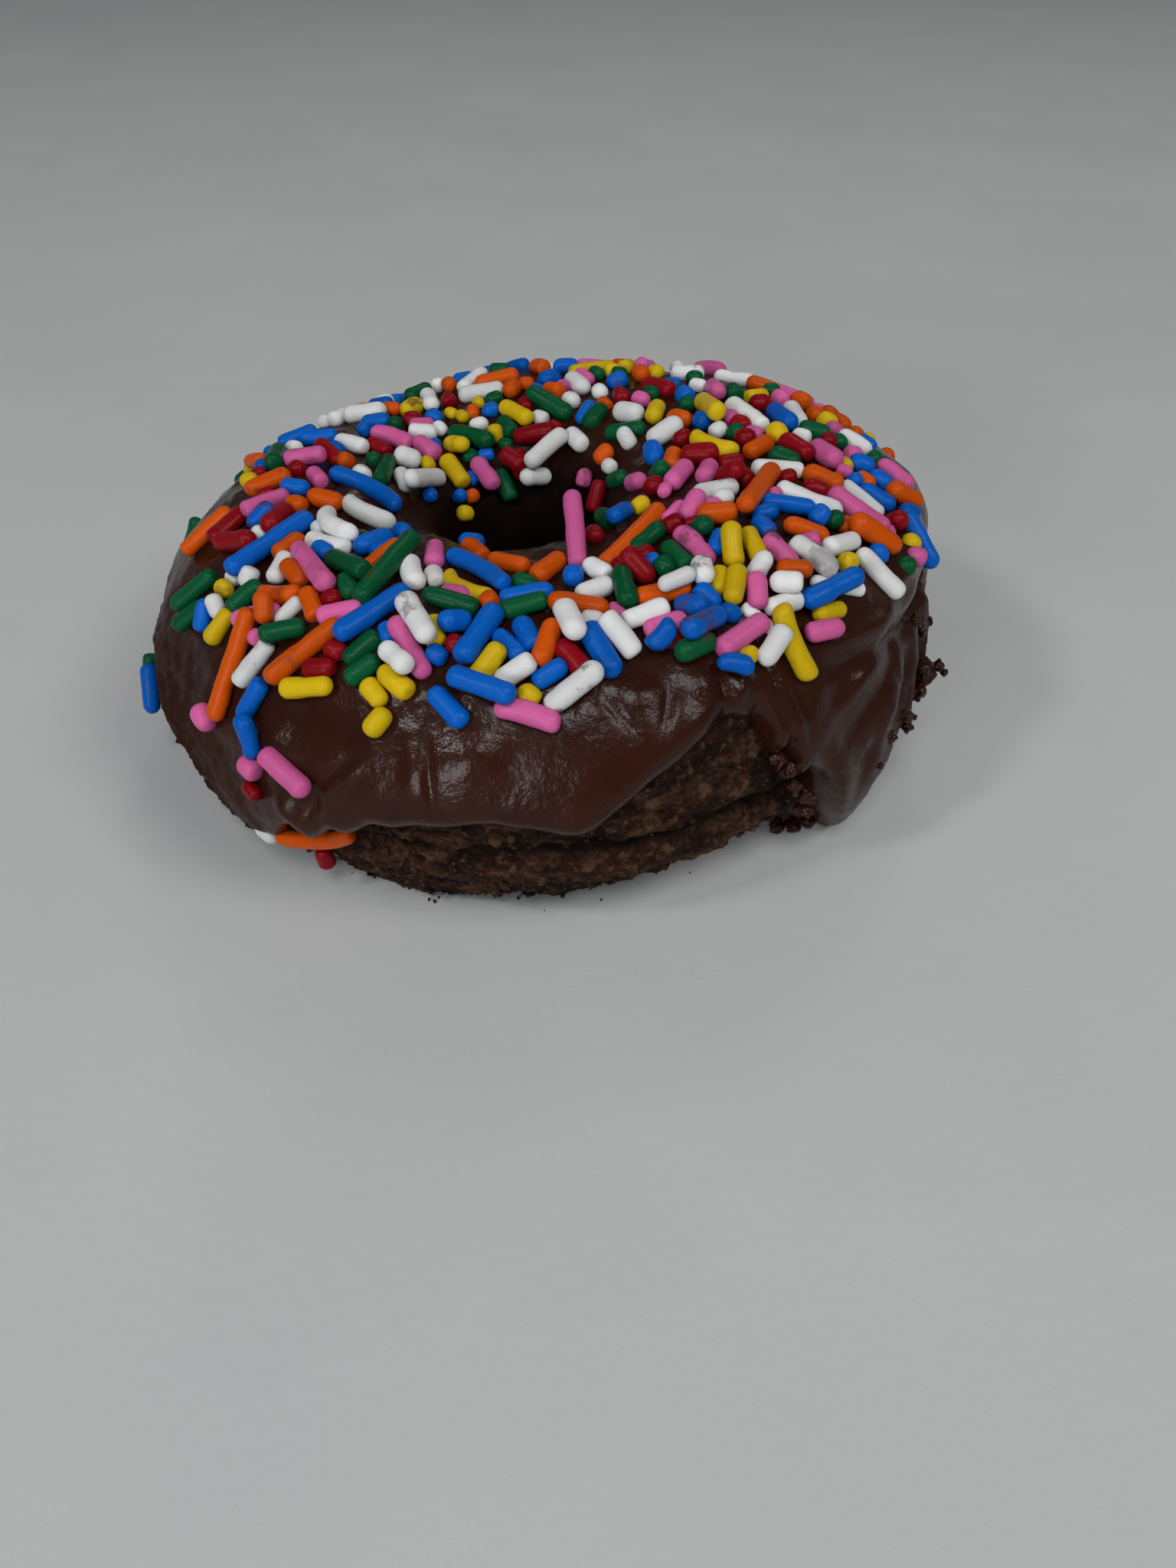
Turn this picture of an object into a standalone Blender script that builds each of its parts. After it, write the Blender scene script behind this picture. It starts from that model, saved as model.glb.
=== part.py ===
"""A chocolate cake doughnut under a thick coat of chocolate icing, lying flat side down.

Two solids share one ring: the cake, with its flat foot, cracked side and crust ledge, and the icing,
which covers the crown, runs down into the hole and hangs to an uneven edge round the outside.
Lengths are in millimetres until the meshes are made, and +Z is up. A bearing is an angle round the
ring's axis, in degrees from +X towards +Y, so 270 is the front. An angle is taken in the ring's
section, in degrees up from level: 0 points outward, 90 up at the crown and 180 into the hole.
"""

import bpy
import numpy as np

METRES = 0.001  # one millimetre

# The ring
RING_RADIUS = 25.0  # axis to the middle of the section
MIDDLE_HEIGHT = 13.0  # of the section's middle above the table
HOLE_FOOT_RADIUS = 13.5  # where the throat flares out to the flat foot
SIDE_FULLNESS = 1.55  # exponent of the lower outer quarter, which tapers in to the foot; 2 is an ellipse
THROAT_FULLNESS = 2.0  # of the lower inner quarter
BROW_FULLNESS = 2.9  # of the upper inner quarter, over the hole

# Each profile is a closed curve through points of (bearing, size)
CAKE_RADIUS = (
    (0, 41.4),
    (45, 41.8),
    (90, 39.8),
    (135, 40.2),
    (180, 40.6),
    (205, 40.7),
    (228, 39.6),
    (255, 40.4),
    (285, 41.0),
    (315, 41.0),
    (340, 41.0),
)
CROWN_HEIGHT = ((0, 32.0), (45, 31.0), (90, 28.0), (140, 26.6), (180, 26.8), (240, 28.0), (300, 30.6))
FOOT_RADIUS = ((0, 36.0), (90, 35.0), (180, 36.5), (222, 34.2), (255, 34.5), (290, 31.6), (320, 32.0))
HOLE_RADIUS = ((0, 8.4), (90, 7.4), (180, 8.8), (270, 10.2))
SHOULDER_FULLNESS = ((0, 2.5), (90, 2.3), (190, 1.9), (270, 2.3))  # exponent of the upper outer quarter
ICING_EDGE = (
    (0, 1.2),
    (30, 3.0),
    (60, 8.0),
    (90, 5.0),
    (120, 9.0),
    (150, 4.5),
    (180, 2.6),
    (210, 2.4),
    (228, 6.0),
    (240, 11.5),
    (256, 14.8),
    (275, 15.0),
    (287, 17.0),
    (298, 23.4),
    (304, 20.4),
    (311, 13.0),
    (320, 5.0),
    (329, 0.5),
    (345, 0.5),
)

# The crack round the cake's side, and the ledge of crust under it
CRACK_ANGLE = -10.0
CRACK_WANDER = 7.0  # it is highest in front, and again behind
CRACK_CREST = 290.0
CRACK_DEPTH = 2.2
CRACK_SPREAD = 5.0  # degrees of the section
LEDGE_DROP = 12.0  # degrees from the crack down to the ledge
LEDGE_PROUD = 1.0
LEDGE_SPREAD = 7.0

# The icing
SEAM = 0.3  # space between the two solids
ICING_THICKNESS = 1.9
LIP_BULGE = 0.8  # the coat thickens towards its lower edge
LIP_SPREAD = 16.0
LIP_ROUND = 8.0  # degrees of the section over which the outer edge rounds off
THROAT_ROUND = 14.0
THROAT_ANGLE = 172.0  # how far the coat runs down into the hole
DRAPE = (340.0, 30.0, 1.7)  # thick curtain on the right: bearing, half width, extra thickness
DRIP = (323.0, 6.0, 1.3)  # rounded run at its near side
COLLAR = (356.0, 24.0, 2.4)  # bulging shoulder above the curtain
COLLAR_ANGLE = 41.0
COLLAR_SPREAD = 15.0
WAVES = ((3, 0.25, 20.0), (5, 0.3, 75.0), (8, 0.2, 10.0))  # lobes round the ring, height, bearing of a crest

# Mesh density
BEARINGS = 96
COAT_STEPS = 15
THROAT_STEPS = 2
USUAL_EDGE_ANGLE = -20.0
EDGE_FADE = 2.5  # how fast the steps above the edge level out


def around(profile, bearing):
    """A closed smooth curve through the profile's points, read at each bearing."""
    known, value = np.array(profile, float).T
    known = np.concatenate([known[-2:] - 360, known, known[:3] + 360])
    value = np.concatenate([value[-2:], value, value[:3]])
    slope = (value[2:] - value[:-2]) / (known[2:] - known[:-2])
    turn = bearing % 360
    left = np.searchsorted(known, turn, side="right") - 1
    span = known[left + 1] - known[left]
    t = (turn - known[left]) / span
    start, end = value[left], value[left + 1]
    rise = slope[left - 1] * span
    fall = slope[left] * span
    return (
        (2 * t**3 - 3 * t**2 + 1) * start
        + (t**3 - 2 * t**2 + t) * rise
        + (3 * t**2 - 2 * t**3) * end
        + (t**3 - t**2) * fall
    )


def bump(position, centre, spread):
    """A smooth hump of height 1, falling to 0.37 at spread from its centre."""
    return np.exp(-(((position - centre) / spread) ** 2))


def bearing_bump(bearing, centre, spread):
    """The same hump round the ring."""
    return bump((bearing - centre + 180) % 360 - 180, 0, spread)


def waves(bearing):
    return sum(height * np.cos(np.radians(lobes * (bearing - crest))) for lobes, height, crest in WAVES)


def reach(angle, width, height, fullness):
    """Distance from the middle to a superellipse of this half width and half height."""
    across = np.abs(np.cos(np.radians(angle))) / width
    up = np.abs(np.sin(np.radians(angle))) / height
    return (across**fullness + up**fullness) ** (-1 / fullness)


def lower_height(foot_width, width, fullness):
    """Half height of the superellipse that meets the table foot_width from the middle."""
    return MIDDLE_HEIGHT / (1 - (foot_width / width) ** fullness) ** (1 / fullness)


def crust_reach(bearing, angle):
    """The cake's crust, without its crack and ledge."""
    outer = around(CAKE_RADIUS, bearing) + waves(bearing) - RING_RADIUS
    inner = RING_RADIUS - around(HOLE_RADIUS, bearing)
    crown = around(CROWN_HEIGHT, bearing) + waves(bearing + 50) - MIDDLE_HEIGHT
    foot = lower_height(around(FOOT_RADIUS, bearing) - RING_RADIUS, outer, SIDE_FULLNESS)
    throat_foot = lower_height(RING_RADIUS - HOLE_FOOT_RADIUS, inner, THROAT_FULLNESS)
    outward = np.cos(np.radians(angle)) > 0
    upper = np.sin(np.radians(angle)) > 0
    shoulder = reach(angle, outer, crown, around(SHOULDER_FULLNESS, bearing))
    side = reach(angle, outer, foot, SIDE_FULLNESS)
    brow = reach(angle, inner, crown, BROW_FULLNESS)
    throat = reach(angle, inner, throat_foot, THROAT_FULLNESS)
    return np.where(outward, np.where(upper, shoulder, side), np.where(upper, brow, throat))


def crack_angle(bearing):
    return CRACK_ANGLE + CRACK_WANDER * np.cos(np.radians(2 * (bearing - CRACK_CREST)))


def cake_reach(bearing, angle):
    crack = crack_angle(bearing)
    depth = CRACK_DEPTH * (0.75 + 0.25 * np.sin(np.radians(9 * bearing)))
    ledge = LEDGE_PROUD * (0.8 + 0.2 * np.sin(np.radians(7 * bearing + 40)))
    return (
        crust_reach(bearing, angle)
        - depth * bump(angle, crack, CRACK_SPREAD)
        + ledge * bump(angle, crack - LEDGE_DROP, LEDGE_SPREAD)
    )


def height_at(bearing, angle):
    return MIDDLE_HEIGHT + crust_reach(bearing, angle) * np.sin(np.radians(angle))


def angle_at_height(bearing, height):
    """The angle at which the crust's outer side is this high, by halving."""
    low = np.full_like(bearing, -75.0)
    high = np.full_like(bearing, 85.0)
    for _ in range(30):
        middle = (low + high) / 2
        above = height_at(bearing, middle) > height
        high = np.where(above, middle, high)
        low = np.where(above, low, middle)
    return (low + high) / 2


def place(bearing, angle, distance):
    """Points at this distance from the section's middle, no lower than the table."""
    bearing, angle, distance = np.broadcast_arrays(bearing, angle, distance)
    radius = RING_RADIUS + distance * np.cos(np.radians(angle))
    height = np.maximum(MIDDLE_HEIGHT + distance * np.sin(np.radians(angle)), 0)
    turn = np.radians(bearing)
    return np.stack([radius * np.cos(turn), radius * np.sin(turn), height], -1)


def foot_angles(bearing):
    """Where the outer wall and the throat meet the flat foot."""
    outer = -np.degrees(np.arctan2(MIDDLE_HEIGHT, around(FOOT_RADIUS, bearing) - RING_RADIUS))
    throat = 180 + np.degrees(np.arctan2(MIDDLE_HEIGHT, RING_RADIUS - HOLE_FOOT_RADIUS))
    return outer[:, None], np.full((len(bearing), 1), throat)


def coat_angles(bearing):
    """Steps from the coat's outer edge to its edge in the throat, close together at both edges.

    The steps near the outer edge follow its rise and fall, and those over the crown run level.
    """
    edge = angle_at_height(bearing, around(ICING_EDGE, bearing))[:, None]
    even = np.linspace(0, 1, COAT_STEPS)
    share = (0.45 * even + 0.55 * (0.5 - 0.5 * np.cos(np.pi * even))) ** 1.25
    level = USUAL_EDGE_ANGLE + share * (THROAT_ANGLE - USUAL_EDGE_ANGLE)
    return level + (edge - USUAL_EDGE_ANGLE) * (1 - share) ** EDGE_FADE


def wall_angles(bearing, foot, edge):
    """Steps up the bare side: foot, ledge, crack and crust, pressed together where the coat hangs low."""
    crack = crack_angle(bearing)[:, None]
    marks = crack + np.array([-LEDGE_DROP - 10, -LEDGE_DROP, -CRACK_SPREAD, 0, CRACK_SPREAD])
    share = np.linspace(0, 1, marks.shape[1] + 2)[1:-1]
    return np.concatenate([foot, np.minimum(marks, foot + share * (edge - foot))], 1)


def cake_points(bearing):
    """Rings of points from the outer foot over the crown and down the throat."""
    outer_foot, throat_foot = foot_angles(bearing)
    under_coat = coat_angles(bearing)
    wall = wall_angles(bearing, outer_foot, under_coat[:, :1])
    throat = THROAT_ANGLE + np.linspace(0, 1, THROAT_STEPS + 1)[1:] * (throat_foot - THROAT_ANGLE)
    angle = np.concatenate([wall, under_coat, throat], 1)
    return place(bearing[:, None], angle, cake_reach(bearing[:, None], angle))


def icing_thickness(bearing, angle, edge):
    """Thickness of the coat at each angle above its lower edge."""
    side = np.clip(1 - angle / 60, 0, 1)
    drape = DRAPE[2] * bearing_bump(bearing, DRAPE[0], DRAPE[1]) * side
    drip = DRIP[2] * bearing_bump(bearing, DRIP[0], DRIP[1]) * side
    collar = COLLAR[2] * bearing_bump(bearing, COLLAR[0], COLLAR[1]) * bump(angle, COLLAR_ANGLE, COLLAR_SPREAD)
    lip = LIP_BULGE * bump(angle, edge + LIP_ROUND, LIP_SPREAD)
    return ICING_THICKNESS + drape + drip + collar + lip


def rounded(distance, width):
    """1 well inside the coat, falling to 0 along a quarter ellipse over the last width of it."""
    share = np.clip(distance / width, 0, 1)
    return np.sqrt(1 - (1 - share) ** 2)


def icing_points(bearing):
    """Rings over the coat from its outer edge to its edge in the throat, and back along the cake."""
    angle = coat_angles(bearing)
    edge = angle[:, :1]
    bearing = bearing[:, None]
    lining = cake_reach(bearing, angle) + SEAM
    full = crust_reach(bearing, angle) + SEAM + icing_thickness(bearing, angle, edge)
    end = rounded(angle - edge, LIP_ROUND) * rounded(THROAT_ANGLE - angle, THROAT_ROUND)
    coat = lining + end * (full - lining)
    return np.concatenate([place(bearing, angle, coat), place(bearing, angle, lining)[:, -2:0:-1]], 1)


def ring_mesh(name, points, turn_step):
    """A closed mesh from points laid out as (bearing, step round the section).

    From turn_step on the steps run back along the lines of the first ones, so their faces are split
    the other way, and the two solids meet with matching faces.
    """
    around_count, section_count = points.shape[:2]
    near = np.arange(around_count)[:, None] * section_count
    far = np.roll(near, -1, axis=0)
    step = np.arange(section_count)[None, :]
    ahead = (step + 1) % section_count
    corners = np.stack([near + step, far + step, far + ahead, near + ahead], -1)
    forward = corners[:, :turn_step].reshape(-1, 4)
    back = np.roll(corners[:, turn_step:], 1, axis=-1).reshape(-1, 4)
    quads = np.concatenate([forward, back])
    faces = np.concatenate([quads[:, [0, 1, 2]], quads[:, [0, 2, 3]]])
    mesh = bpy.data.meshes.new(name)
    mesh.from_pydata((points.reshape(-1, 3) * METRES).tolist(), [], faces.tolist())
    mesh.validate()
    mesh.shade_smooth()
    return mesh


def food_material(name, colour, roughness):
    material = bpy.data.materials.new(name)
    material.use_nodes = True
    shader = material.node_tree.nodes["Principled BSDF"]
    shader.inputs["Base Color"].default_value = (*colour, 1)
    shader.inputs["Roughness"].default_value = roughness
    shader.inputs["Metallic"].default_value = 0
    return material


def add_piece(name, points, turn_step, material):
    piece = bpy.data.objects.new(name, ring_mesh(name, points, turn_step))
    piece.data.materials.append(material)
    bpy.context.scene.collection.objects.link(piece)
    return piece


def clear_scene():
    for thing in list(bpy.data.objects):
        bpy.data.objects.remove(thing, do_unlink=True)


def build():
    clear_scene()
    bearing = np.arange(BEARINGS) * 360.0 / BEARINGS
    cake = cake_points(bearing)
    icing = icing_points(bearing)
    every = np.concatenate([cake.reshape(-1, 3), icing.reshape(-1, 3)])
    middle = (every.min(0) + every.max(0)) / 2 * (1, 1, 0)  # the origin is under the middle of the whole
    crumb = food_material("chocolate cake", (0.035, 0.016, 0.010), 0.85)
    gloss = food_material("chocolate icing", (0.030, 0.010, 0.006), 0.35)
    add_piece("doughnut_cake", cake - middle, cake.shape[1], crumb)
    add_piece("chocolate_icing", icing - middle, COAT_STEPS - 1, gloss)


build()
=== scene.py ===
"""The looks of the sprinkle frosted doughnut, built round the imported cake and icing.

The cake and the icing are made again from the part's own shape, finer and rougher, and the sprinkles,
crumbs and smears are added to them. Lengths are in millimetres and +Z is up until the meshes are made.
A bearing is an angle round the ring's axis, in degrees from +X towards +Y, so 270 is the front. An
angle is taken in the ring's section: 0 points outward, 90 up at the crown and 180 into the hole.
Work is done in the ring's own frame, with its axis at the origin, and moved to the part's at the end.
"""

import itertools
import math

import bpy
import numpy as np
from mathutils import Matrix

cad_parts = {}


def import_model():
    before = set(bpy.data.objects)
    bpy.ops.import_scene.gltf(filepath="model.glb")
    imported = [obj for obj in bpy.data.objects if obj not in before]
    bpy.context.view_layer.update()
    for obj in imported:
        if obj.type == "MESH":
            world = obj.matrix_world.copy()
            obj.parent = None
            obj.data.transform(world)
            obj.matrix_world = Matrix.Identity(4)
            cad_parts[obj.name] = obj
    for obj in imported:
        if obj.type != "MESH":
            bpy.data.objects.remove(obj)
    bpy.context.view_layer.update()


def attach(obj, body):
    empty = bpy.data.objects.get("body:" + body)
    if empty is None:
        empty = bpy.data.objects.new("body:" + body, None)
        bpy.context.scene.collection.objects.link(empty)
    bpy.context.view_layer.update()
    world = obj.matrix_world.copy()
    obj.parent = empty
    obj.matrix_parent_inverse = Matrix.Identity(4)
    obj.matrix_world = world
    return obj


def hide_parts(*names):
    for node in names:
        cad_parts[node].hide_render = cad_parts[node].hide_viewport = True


METRES = 0.001  # one millimetre

# The ring, as in the part
RING_RADIUS = 25.0
MIDDLE_HEIGHT = 13.0
HOLE_FOOT_RADIUS = 13.5
SIDE_FULLNESS = 1.55
THROAT_FULLNESS = 2.0
BROW_FULLNESS = 2.9
CAKE_RADIUS = (
    (0, 41.4),
    (45, 41.8),
    (90, 39.8),
    (135, 40.2),
    (180, 40.6),
    (205, 40.7),
    (228, 39.6),
    (255, 40.4),
    (285, 41.0),
    (315, 41.0),
    (340, 41.0),
)
CROWN_HEIGHT = ((0, 32.0), (45, 31.0), (90, 28.0), (140, 26.6), (180, 26.8), (240, 28.0), (300, 30.6))
FOOT_RADIUS = ((0, 36.0), (90, 35.0), (180, 36.5), (222, 34.2), (255, 34.5), (290, 31.6), (320, 32.0))
HOLE_RADIUS = ((0, 8.4), (90, 7.4), (180, 8.8), (270, 10.2))
SHOULDER_FULLNESS = ((0, 2.5), (90, 2.3), (190, 1.9), (270, 2.3))
ICING_EDGE = (
    (0, 1.2),
    (30, 3.0),
    (60, 8.0),
    (90, 5.0),
    (120, 9.0),
    (150, 4.5),
    (180, 2.6),
    (210, 2.4),
    (228, 6.0),
    (240, 11.5),
    (256, 14.5),
    (275, 16.2),
    (283, 17.3),
    (288, 20.0),
    (292, 21.3),
    (298, 22.9),
    (304, 20.4),
    (311, 13.0),
    (320, 5.0),
    (329, 0.5),
    (345, 0.5),
)
CRACK_ANGLE = -10.0
CRACK_WANDER = 7.0
CRACK_CREST = 290.0
CRACK_DEPTH = 2.2
CRACK_SPREAD = 5.0
LEDGE_DROP = 12.0
LEDGE_PROUD = 1.0
LEDGE_SPREAD = 7.0
SEAM = 0.3
ICING_THICKNESS = 1.9
LIP_BULGE = 0.8
LIP_SPREAD = 16.0
LIP_ROUND = 8.0
THROAT_ROUND = 14.0
THROAT_ANGLE = 172.0
DRAPE = (340.0, 30.0, 1.7)
DRIP = (323.0, 6.0, 1.3)
COLLAR = (356.0, 24.0, 2.4)
COLLAR_ANGLE = 41.0
COLLAR_SPREAD = 15.0
WAVES = ((3, 0.25, 20.0), (5, 0.3, 75.0), (8, 0.2, 10.0))
PART_MIDDLE = np.array([1.26874, -0.88639, 0.0])  # middle of the part's box, in the ring's frame

# Finer mesh
FINE_FROM, FINE_TO = 224.0, 332.0  # bearings of the side in view
CAKE_FINE_STEP, CAKE_STEP = 0.33, 1.6
ICING_FINE_STEP, ICING_STEP = 0.43, 0.8
LIP_ROWS = 14
COAT_ROWS = 140
SUNK = 1.2  # how far the coat's hidden lining lies inside the cake

# Small rises and falls of the icing's lower edge: bearing, half width, height
EDGE_MARKS = (
    (234, 2.0, -1.2),
    (242.3, 2.4, -1.7),
    (248, 2.5, -0.8),
    (266, 4.0, 0.5),
    (277, 3.2, -0.8),
    (283, 2.4, 0.5),
    (302.5, 1.2, 0.9),
    (304.6, 0.8, -1.6),
    (306.4, 0.7, 0.9),
    (308.2, 0.9, -1.3),
    (312.5, 3.4, 2.2),
)
# Hollows and ridges of the coat: bearing, angle, half width in degrees, half height in degrees, turn, height
COAT_MARKS = (
    (259.6, 27, 0.5, 9, 6, -0.28),
    (257.6, 27, 1.4, 9, 6, 0.22),
    (264.5, 33, 3.2, 4.5, 20, 0.3),
    (269.5, 24, 6, 8, 0, -0.25),
    (240, 33, 5, 6, 30, -0.7),
    (236.5, 24, 3, 5, 0, 0.45),
    (246, 20, 1.0, 9, -32, -0.45),
    (248.6, 22, 1.0, 6, -30, 0.35),
    (243.6, 9, 1.4, 5, -10, -0.8),
    (239.8, 5, 1.7, 4, 20, 0.7),
    (286, 47, 2.6, 5, 20, 0.5),
    (283.2, 43, 0.7, 6, 25, -0.35),
    (289.5, 42, 0.8, 6, -20, -0.35),
    (294.5, 47, 1.6, 5, 10, 0.35),
    (297.5, 44, 0.8, 4, 0, -0.5),
    (299.3, 40, 0.8, 5, -20, 0.5),
    (304, 33, 4, 5, 30, -0.3),
    (310, 30, 3.5, 12, -20, 0.45),
    (319, 29, 1.7, 15, -58, 0.55),
    (322, 22, 1.6, 15, -55, -0.5),
    (326, 17, 2.0, 14, -50, 0.5),
    (330, 11, 2.0, 14, -42, -0.45),
    (322, 40, 8, 2.2, -14, 0.9),
    (324, 33, 8, 2.4, -14, -0.9),
    (340, 44, 10, 3.2, 8, 1.2),
    (346, 30, 12, 4.0, 4, -2.7),
    (336, 16, 2.2, 18, -10, 0.55),
    (341.5, 14, 1.8, 18, 0, -0.7),
    (346, 15, 2.0, 18, 0, 0.55),
    (352, 12, 2.2, 18, 4, -0.5),
    (314.5, 7, 3.6, 10, 0, 0.3),
    (309.8, 6, 1.0, 7, 12, -0.5),
    (319.6, 3, 1.3, 9, -12, -0.55),
)

# The view in the photo, in the part's frame
EYE = np.array([5.14, -120.4, 87.41])
EYE_TILT = 50.3
LENS = 27.42


def around(profile, bearing):
    """A closed smooth curve through the profile's points, read at each bearing."""
    known, value = np.array(profile, float).T
    known = np.concatenate([known[-2:] - 360, known, known[:3] + 360])
    value = np.concatenate([value[-2:], value, value[:3]])
    slope = (value[2:] - value[:-2]) / (known[2:] - known[:-2])
    turn = bearing % 360
    left = np.searchsorted(known, turn, side="right") - 1
    span = known[left + 1] - known[left]
    t = (turn - known[left]) / span
    start, end = value[left], value[left + 1]
    rise = slope[left - 1] * span
    fall = slope[left] * span
    return (
        (2 * t**3 - 3 * t**2 + 1) * start
        + (t**3 - 2 * t**2 + t) * rise
        + (3 * t**2 - 2 * t**3) * end
        + (t**3 - t**2) * fall
    )


def bump(position, centre, spread):
    """A smooth hump of height 1, falling to 0.37 at spread from its centre."""
    return np.exp(-(((position - centre) / spread) ** 2))


def bearing_gap(bearing, centre):
    return (bearing - centre + 180) % 360 - 180


def bearing_bump(bearing, centre, spread):
    return bump(bearing_gap(bearing, centre), 0, spread)


def waves(bearing):
    return sum(height * np.cos(np.radians(lobes * (bearing - crest))) for lobes, height, crest in WAVES)


def reach(angle, width, height, fullness):
    """Distance from the section's middle to a superellipse of this half width and half height."""
    across = np.abs(np.cos(np.radians(angle))) / width
    up = np.abs(np.sin(np.radians(angle))) / height
    return (across**fullness + up**fullness) ** (-1 / fullness)


def lower_height(foot_width, width, fullness):
    """Half height of the superellipse that meets the table foot_width from the middle."""
    return MIDDLE_HEIGHT / (1 - (foot_width / width) ** fullness) ** (1 / fullness)


def crust_reach(bearing, angle):
    """The cake's crust, without its crack and ledge."""
    outer = around(CAKE_RADIUS, bearing) + waves(bearing) - RING_RADIUS
    inner = RING_RADIUS - around(HOLE_RADIUS, bearing)
    crown = around(CROWN_HEIGHT, bearing) + waves(bearing + 50) - MIDDLE_HEIGHT
    foot = lower_height(around(FOOT_RADIUS, bearing) - RING_RADIUS, outer, SIDE_FULLNESS)
    throat_foot = lower_height(RING_RADIUS - HOLE_FOOT_RADIUS, inner, THROAT_FULLNESS)
    outward = np.cos(np.radians(angle)) > 0
    upper = np.sin(np.radians(angle)) > 0
    shoulder = reach(angle, outer, crown, around(SHOULDER_FULLNESS, bearing))
    side = reach(angle, outer, foot, SIDE_FULLNESS)
    brow = reach(angle, inner, crown, BROW_FULLNESS)
    throat = reach(angle, inner, throat_foot, THROAT_FULLNESS)
    return np.where(outward, np.where(upper, shoulder, side), np.where(upper, brow, throat))


def crack_angle(bearing):
    return CRACK_ANGLE + CRACK_WANDER * np.cos(np.radians(2 * (bearing - CRACK_CREST)))


def height_at(bearing, angle):
    return MIDDLE_HEIGHT + crust_reach(bearing, angle) * np.sin(np.radians(angle))


def angle_at_height(bearing, height):
    """The angle at which the crust's outer side is this high, by halving."""
    low = np.full_like(bearing, -75.0)
    high = np.full_like(bearing, 85.0)
    for _ in range(30):
        middle = (low + high) / 2
        above = height_at(bearing, middle) > height
        high = np.where(above, middle, high)
        low = np.where(above, low, middle)
    return (low + high) / 2


def place(bearing, angle, distance):
    """Points at this distance from the section's middle, no lower than the table."""
    bearing, angle, distance = np.broadcast_arrays(bearing, angle, distance)
    radius = RING_RADIUS + distance * np.cos(np.radians(angle))
    height = np.maximum(MIDDLE_HEIGHT + distance * np.sin(np.radians(angle)), 0)
    turn = np.radians(bearing)
    return np.stack([radius * np.cos(turn), radius * np.sin(turn), height], -1)


def rounded(distance, width):
    """1 well inside the coat, falling to 0 along a quarter ellipse over the last width of it."""
    share = np.clip(distance / width, 0, 1)
    return np.sqrt(1 - (1 - share) ** 2)


# Noise


def noise(points, cell, seed):
    """Smooth random values from -1 to 1, with features about one cell across."""
    spot = points / cell
    base = np.floor(spot).astype(np.int64)
    part = spot - base
    part = part * part * (3 - 2 * part)
    total = np.zeros(points.shape[:-1])
    for corner in itertools.product((0, 1), repeat=3):
        cellmate = base + corner
        mixed = cellmate[..., 0] * 73856093 ^ cellmate[..., 1] * 19349663 ^ cellmate[..., 2] * 83492791
        mixed = (mixed ^ seed * 40503) & 0x7FFFFFFF
        mixed = (mixed ^ mixed >> 13) * 1274126177 & 0x7FFFFFFF
        value = (mixed >> 8 & 0xFFFF) / 32767.5 - 1
        weight = np.prod(np.where(corner, part, 1 - part), axis=-1)
        total += weight * value
    return total


def layered_noise(points, layers, seed):
    """Noise of several sizes: layers holds (cell, height)."""
    return sum(height * noise(points, cell, seed + i) for i, (cell, height) in enumerate(layers))


# The cake


def edge_height(bearing):
    marks = sum(height * bearing_bump(bearing, centre, width) for centre, width, height in EDGE_MARKS)
    turn = np.radians(bearing)
    spot = np.stack([np.cos(turn), np.sin(turn), 0 * turn], -1) * 41
    wander = 0.35 * noise(spot, 5.0, 11) + 0.22 * noise(spot, 2.2, 12)
    return np.maximum(around(ICING_EDGE, bearing) + marks + wander, 0.35)


def crumbed(bearing, angle):
    """How far the cake's broken surface stands off its smooth one."""
    smooth = place(bearing, angle, crust_reach(bearing, angle))
    crack = crack_angle(bearing)
    wander = 2.6 * noise(smooth, 6.0, 21) + 1.2 * noise(smooth, 2.4, 22)
    opening = np.clip((bearing - 258) / 20, 0.3, 1)
    depth = CRACK_DEPTH * opening * (0.8 + 0.45 * noise(smooth, 9.0, 23))
    cleft = np.maximum(depth, 0) * bump(angle, crack + wander, 0.75 * CRACK_SPREAD)
    ledge = LEDGE_PROUD * (0.85 + 0.4 * noise(smooth, 7.0, 24))
    shelf = ledge * bump(angle, crack - LEDGE_DROP + wander, 0.8 * LEDGE_SPREAD)
    stretched = smooth * (1, 1, 2.4)
    strata = 0.42 * noise(stretched, 3.4, 25) + 0.30 * noise(stretched, 1.6, 26)
    grains = layered_noise(smooth, ((1.5, 0.22), (0.8, 0.22), (0.45, 0.20)), 27)
    pits = -0.5 * np.clip(noise(smooth, 1.3, 31) - 0.35, 0, 1) - 0.8 * np.clip(noise(smooth, 2.6, 32) - 0.5, 0, 1)
    return shelf - cleft + strata + grains + pits


def wall_rows(bearing, foot, edge):
    """Steps from the foot up the bare side to just under the icing's edge."""
    share = np.linspace(0, 1, 96)
    return foot + share * (edge + 5 - foot)


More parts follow.
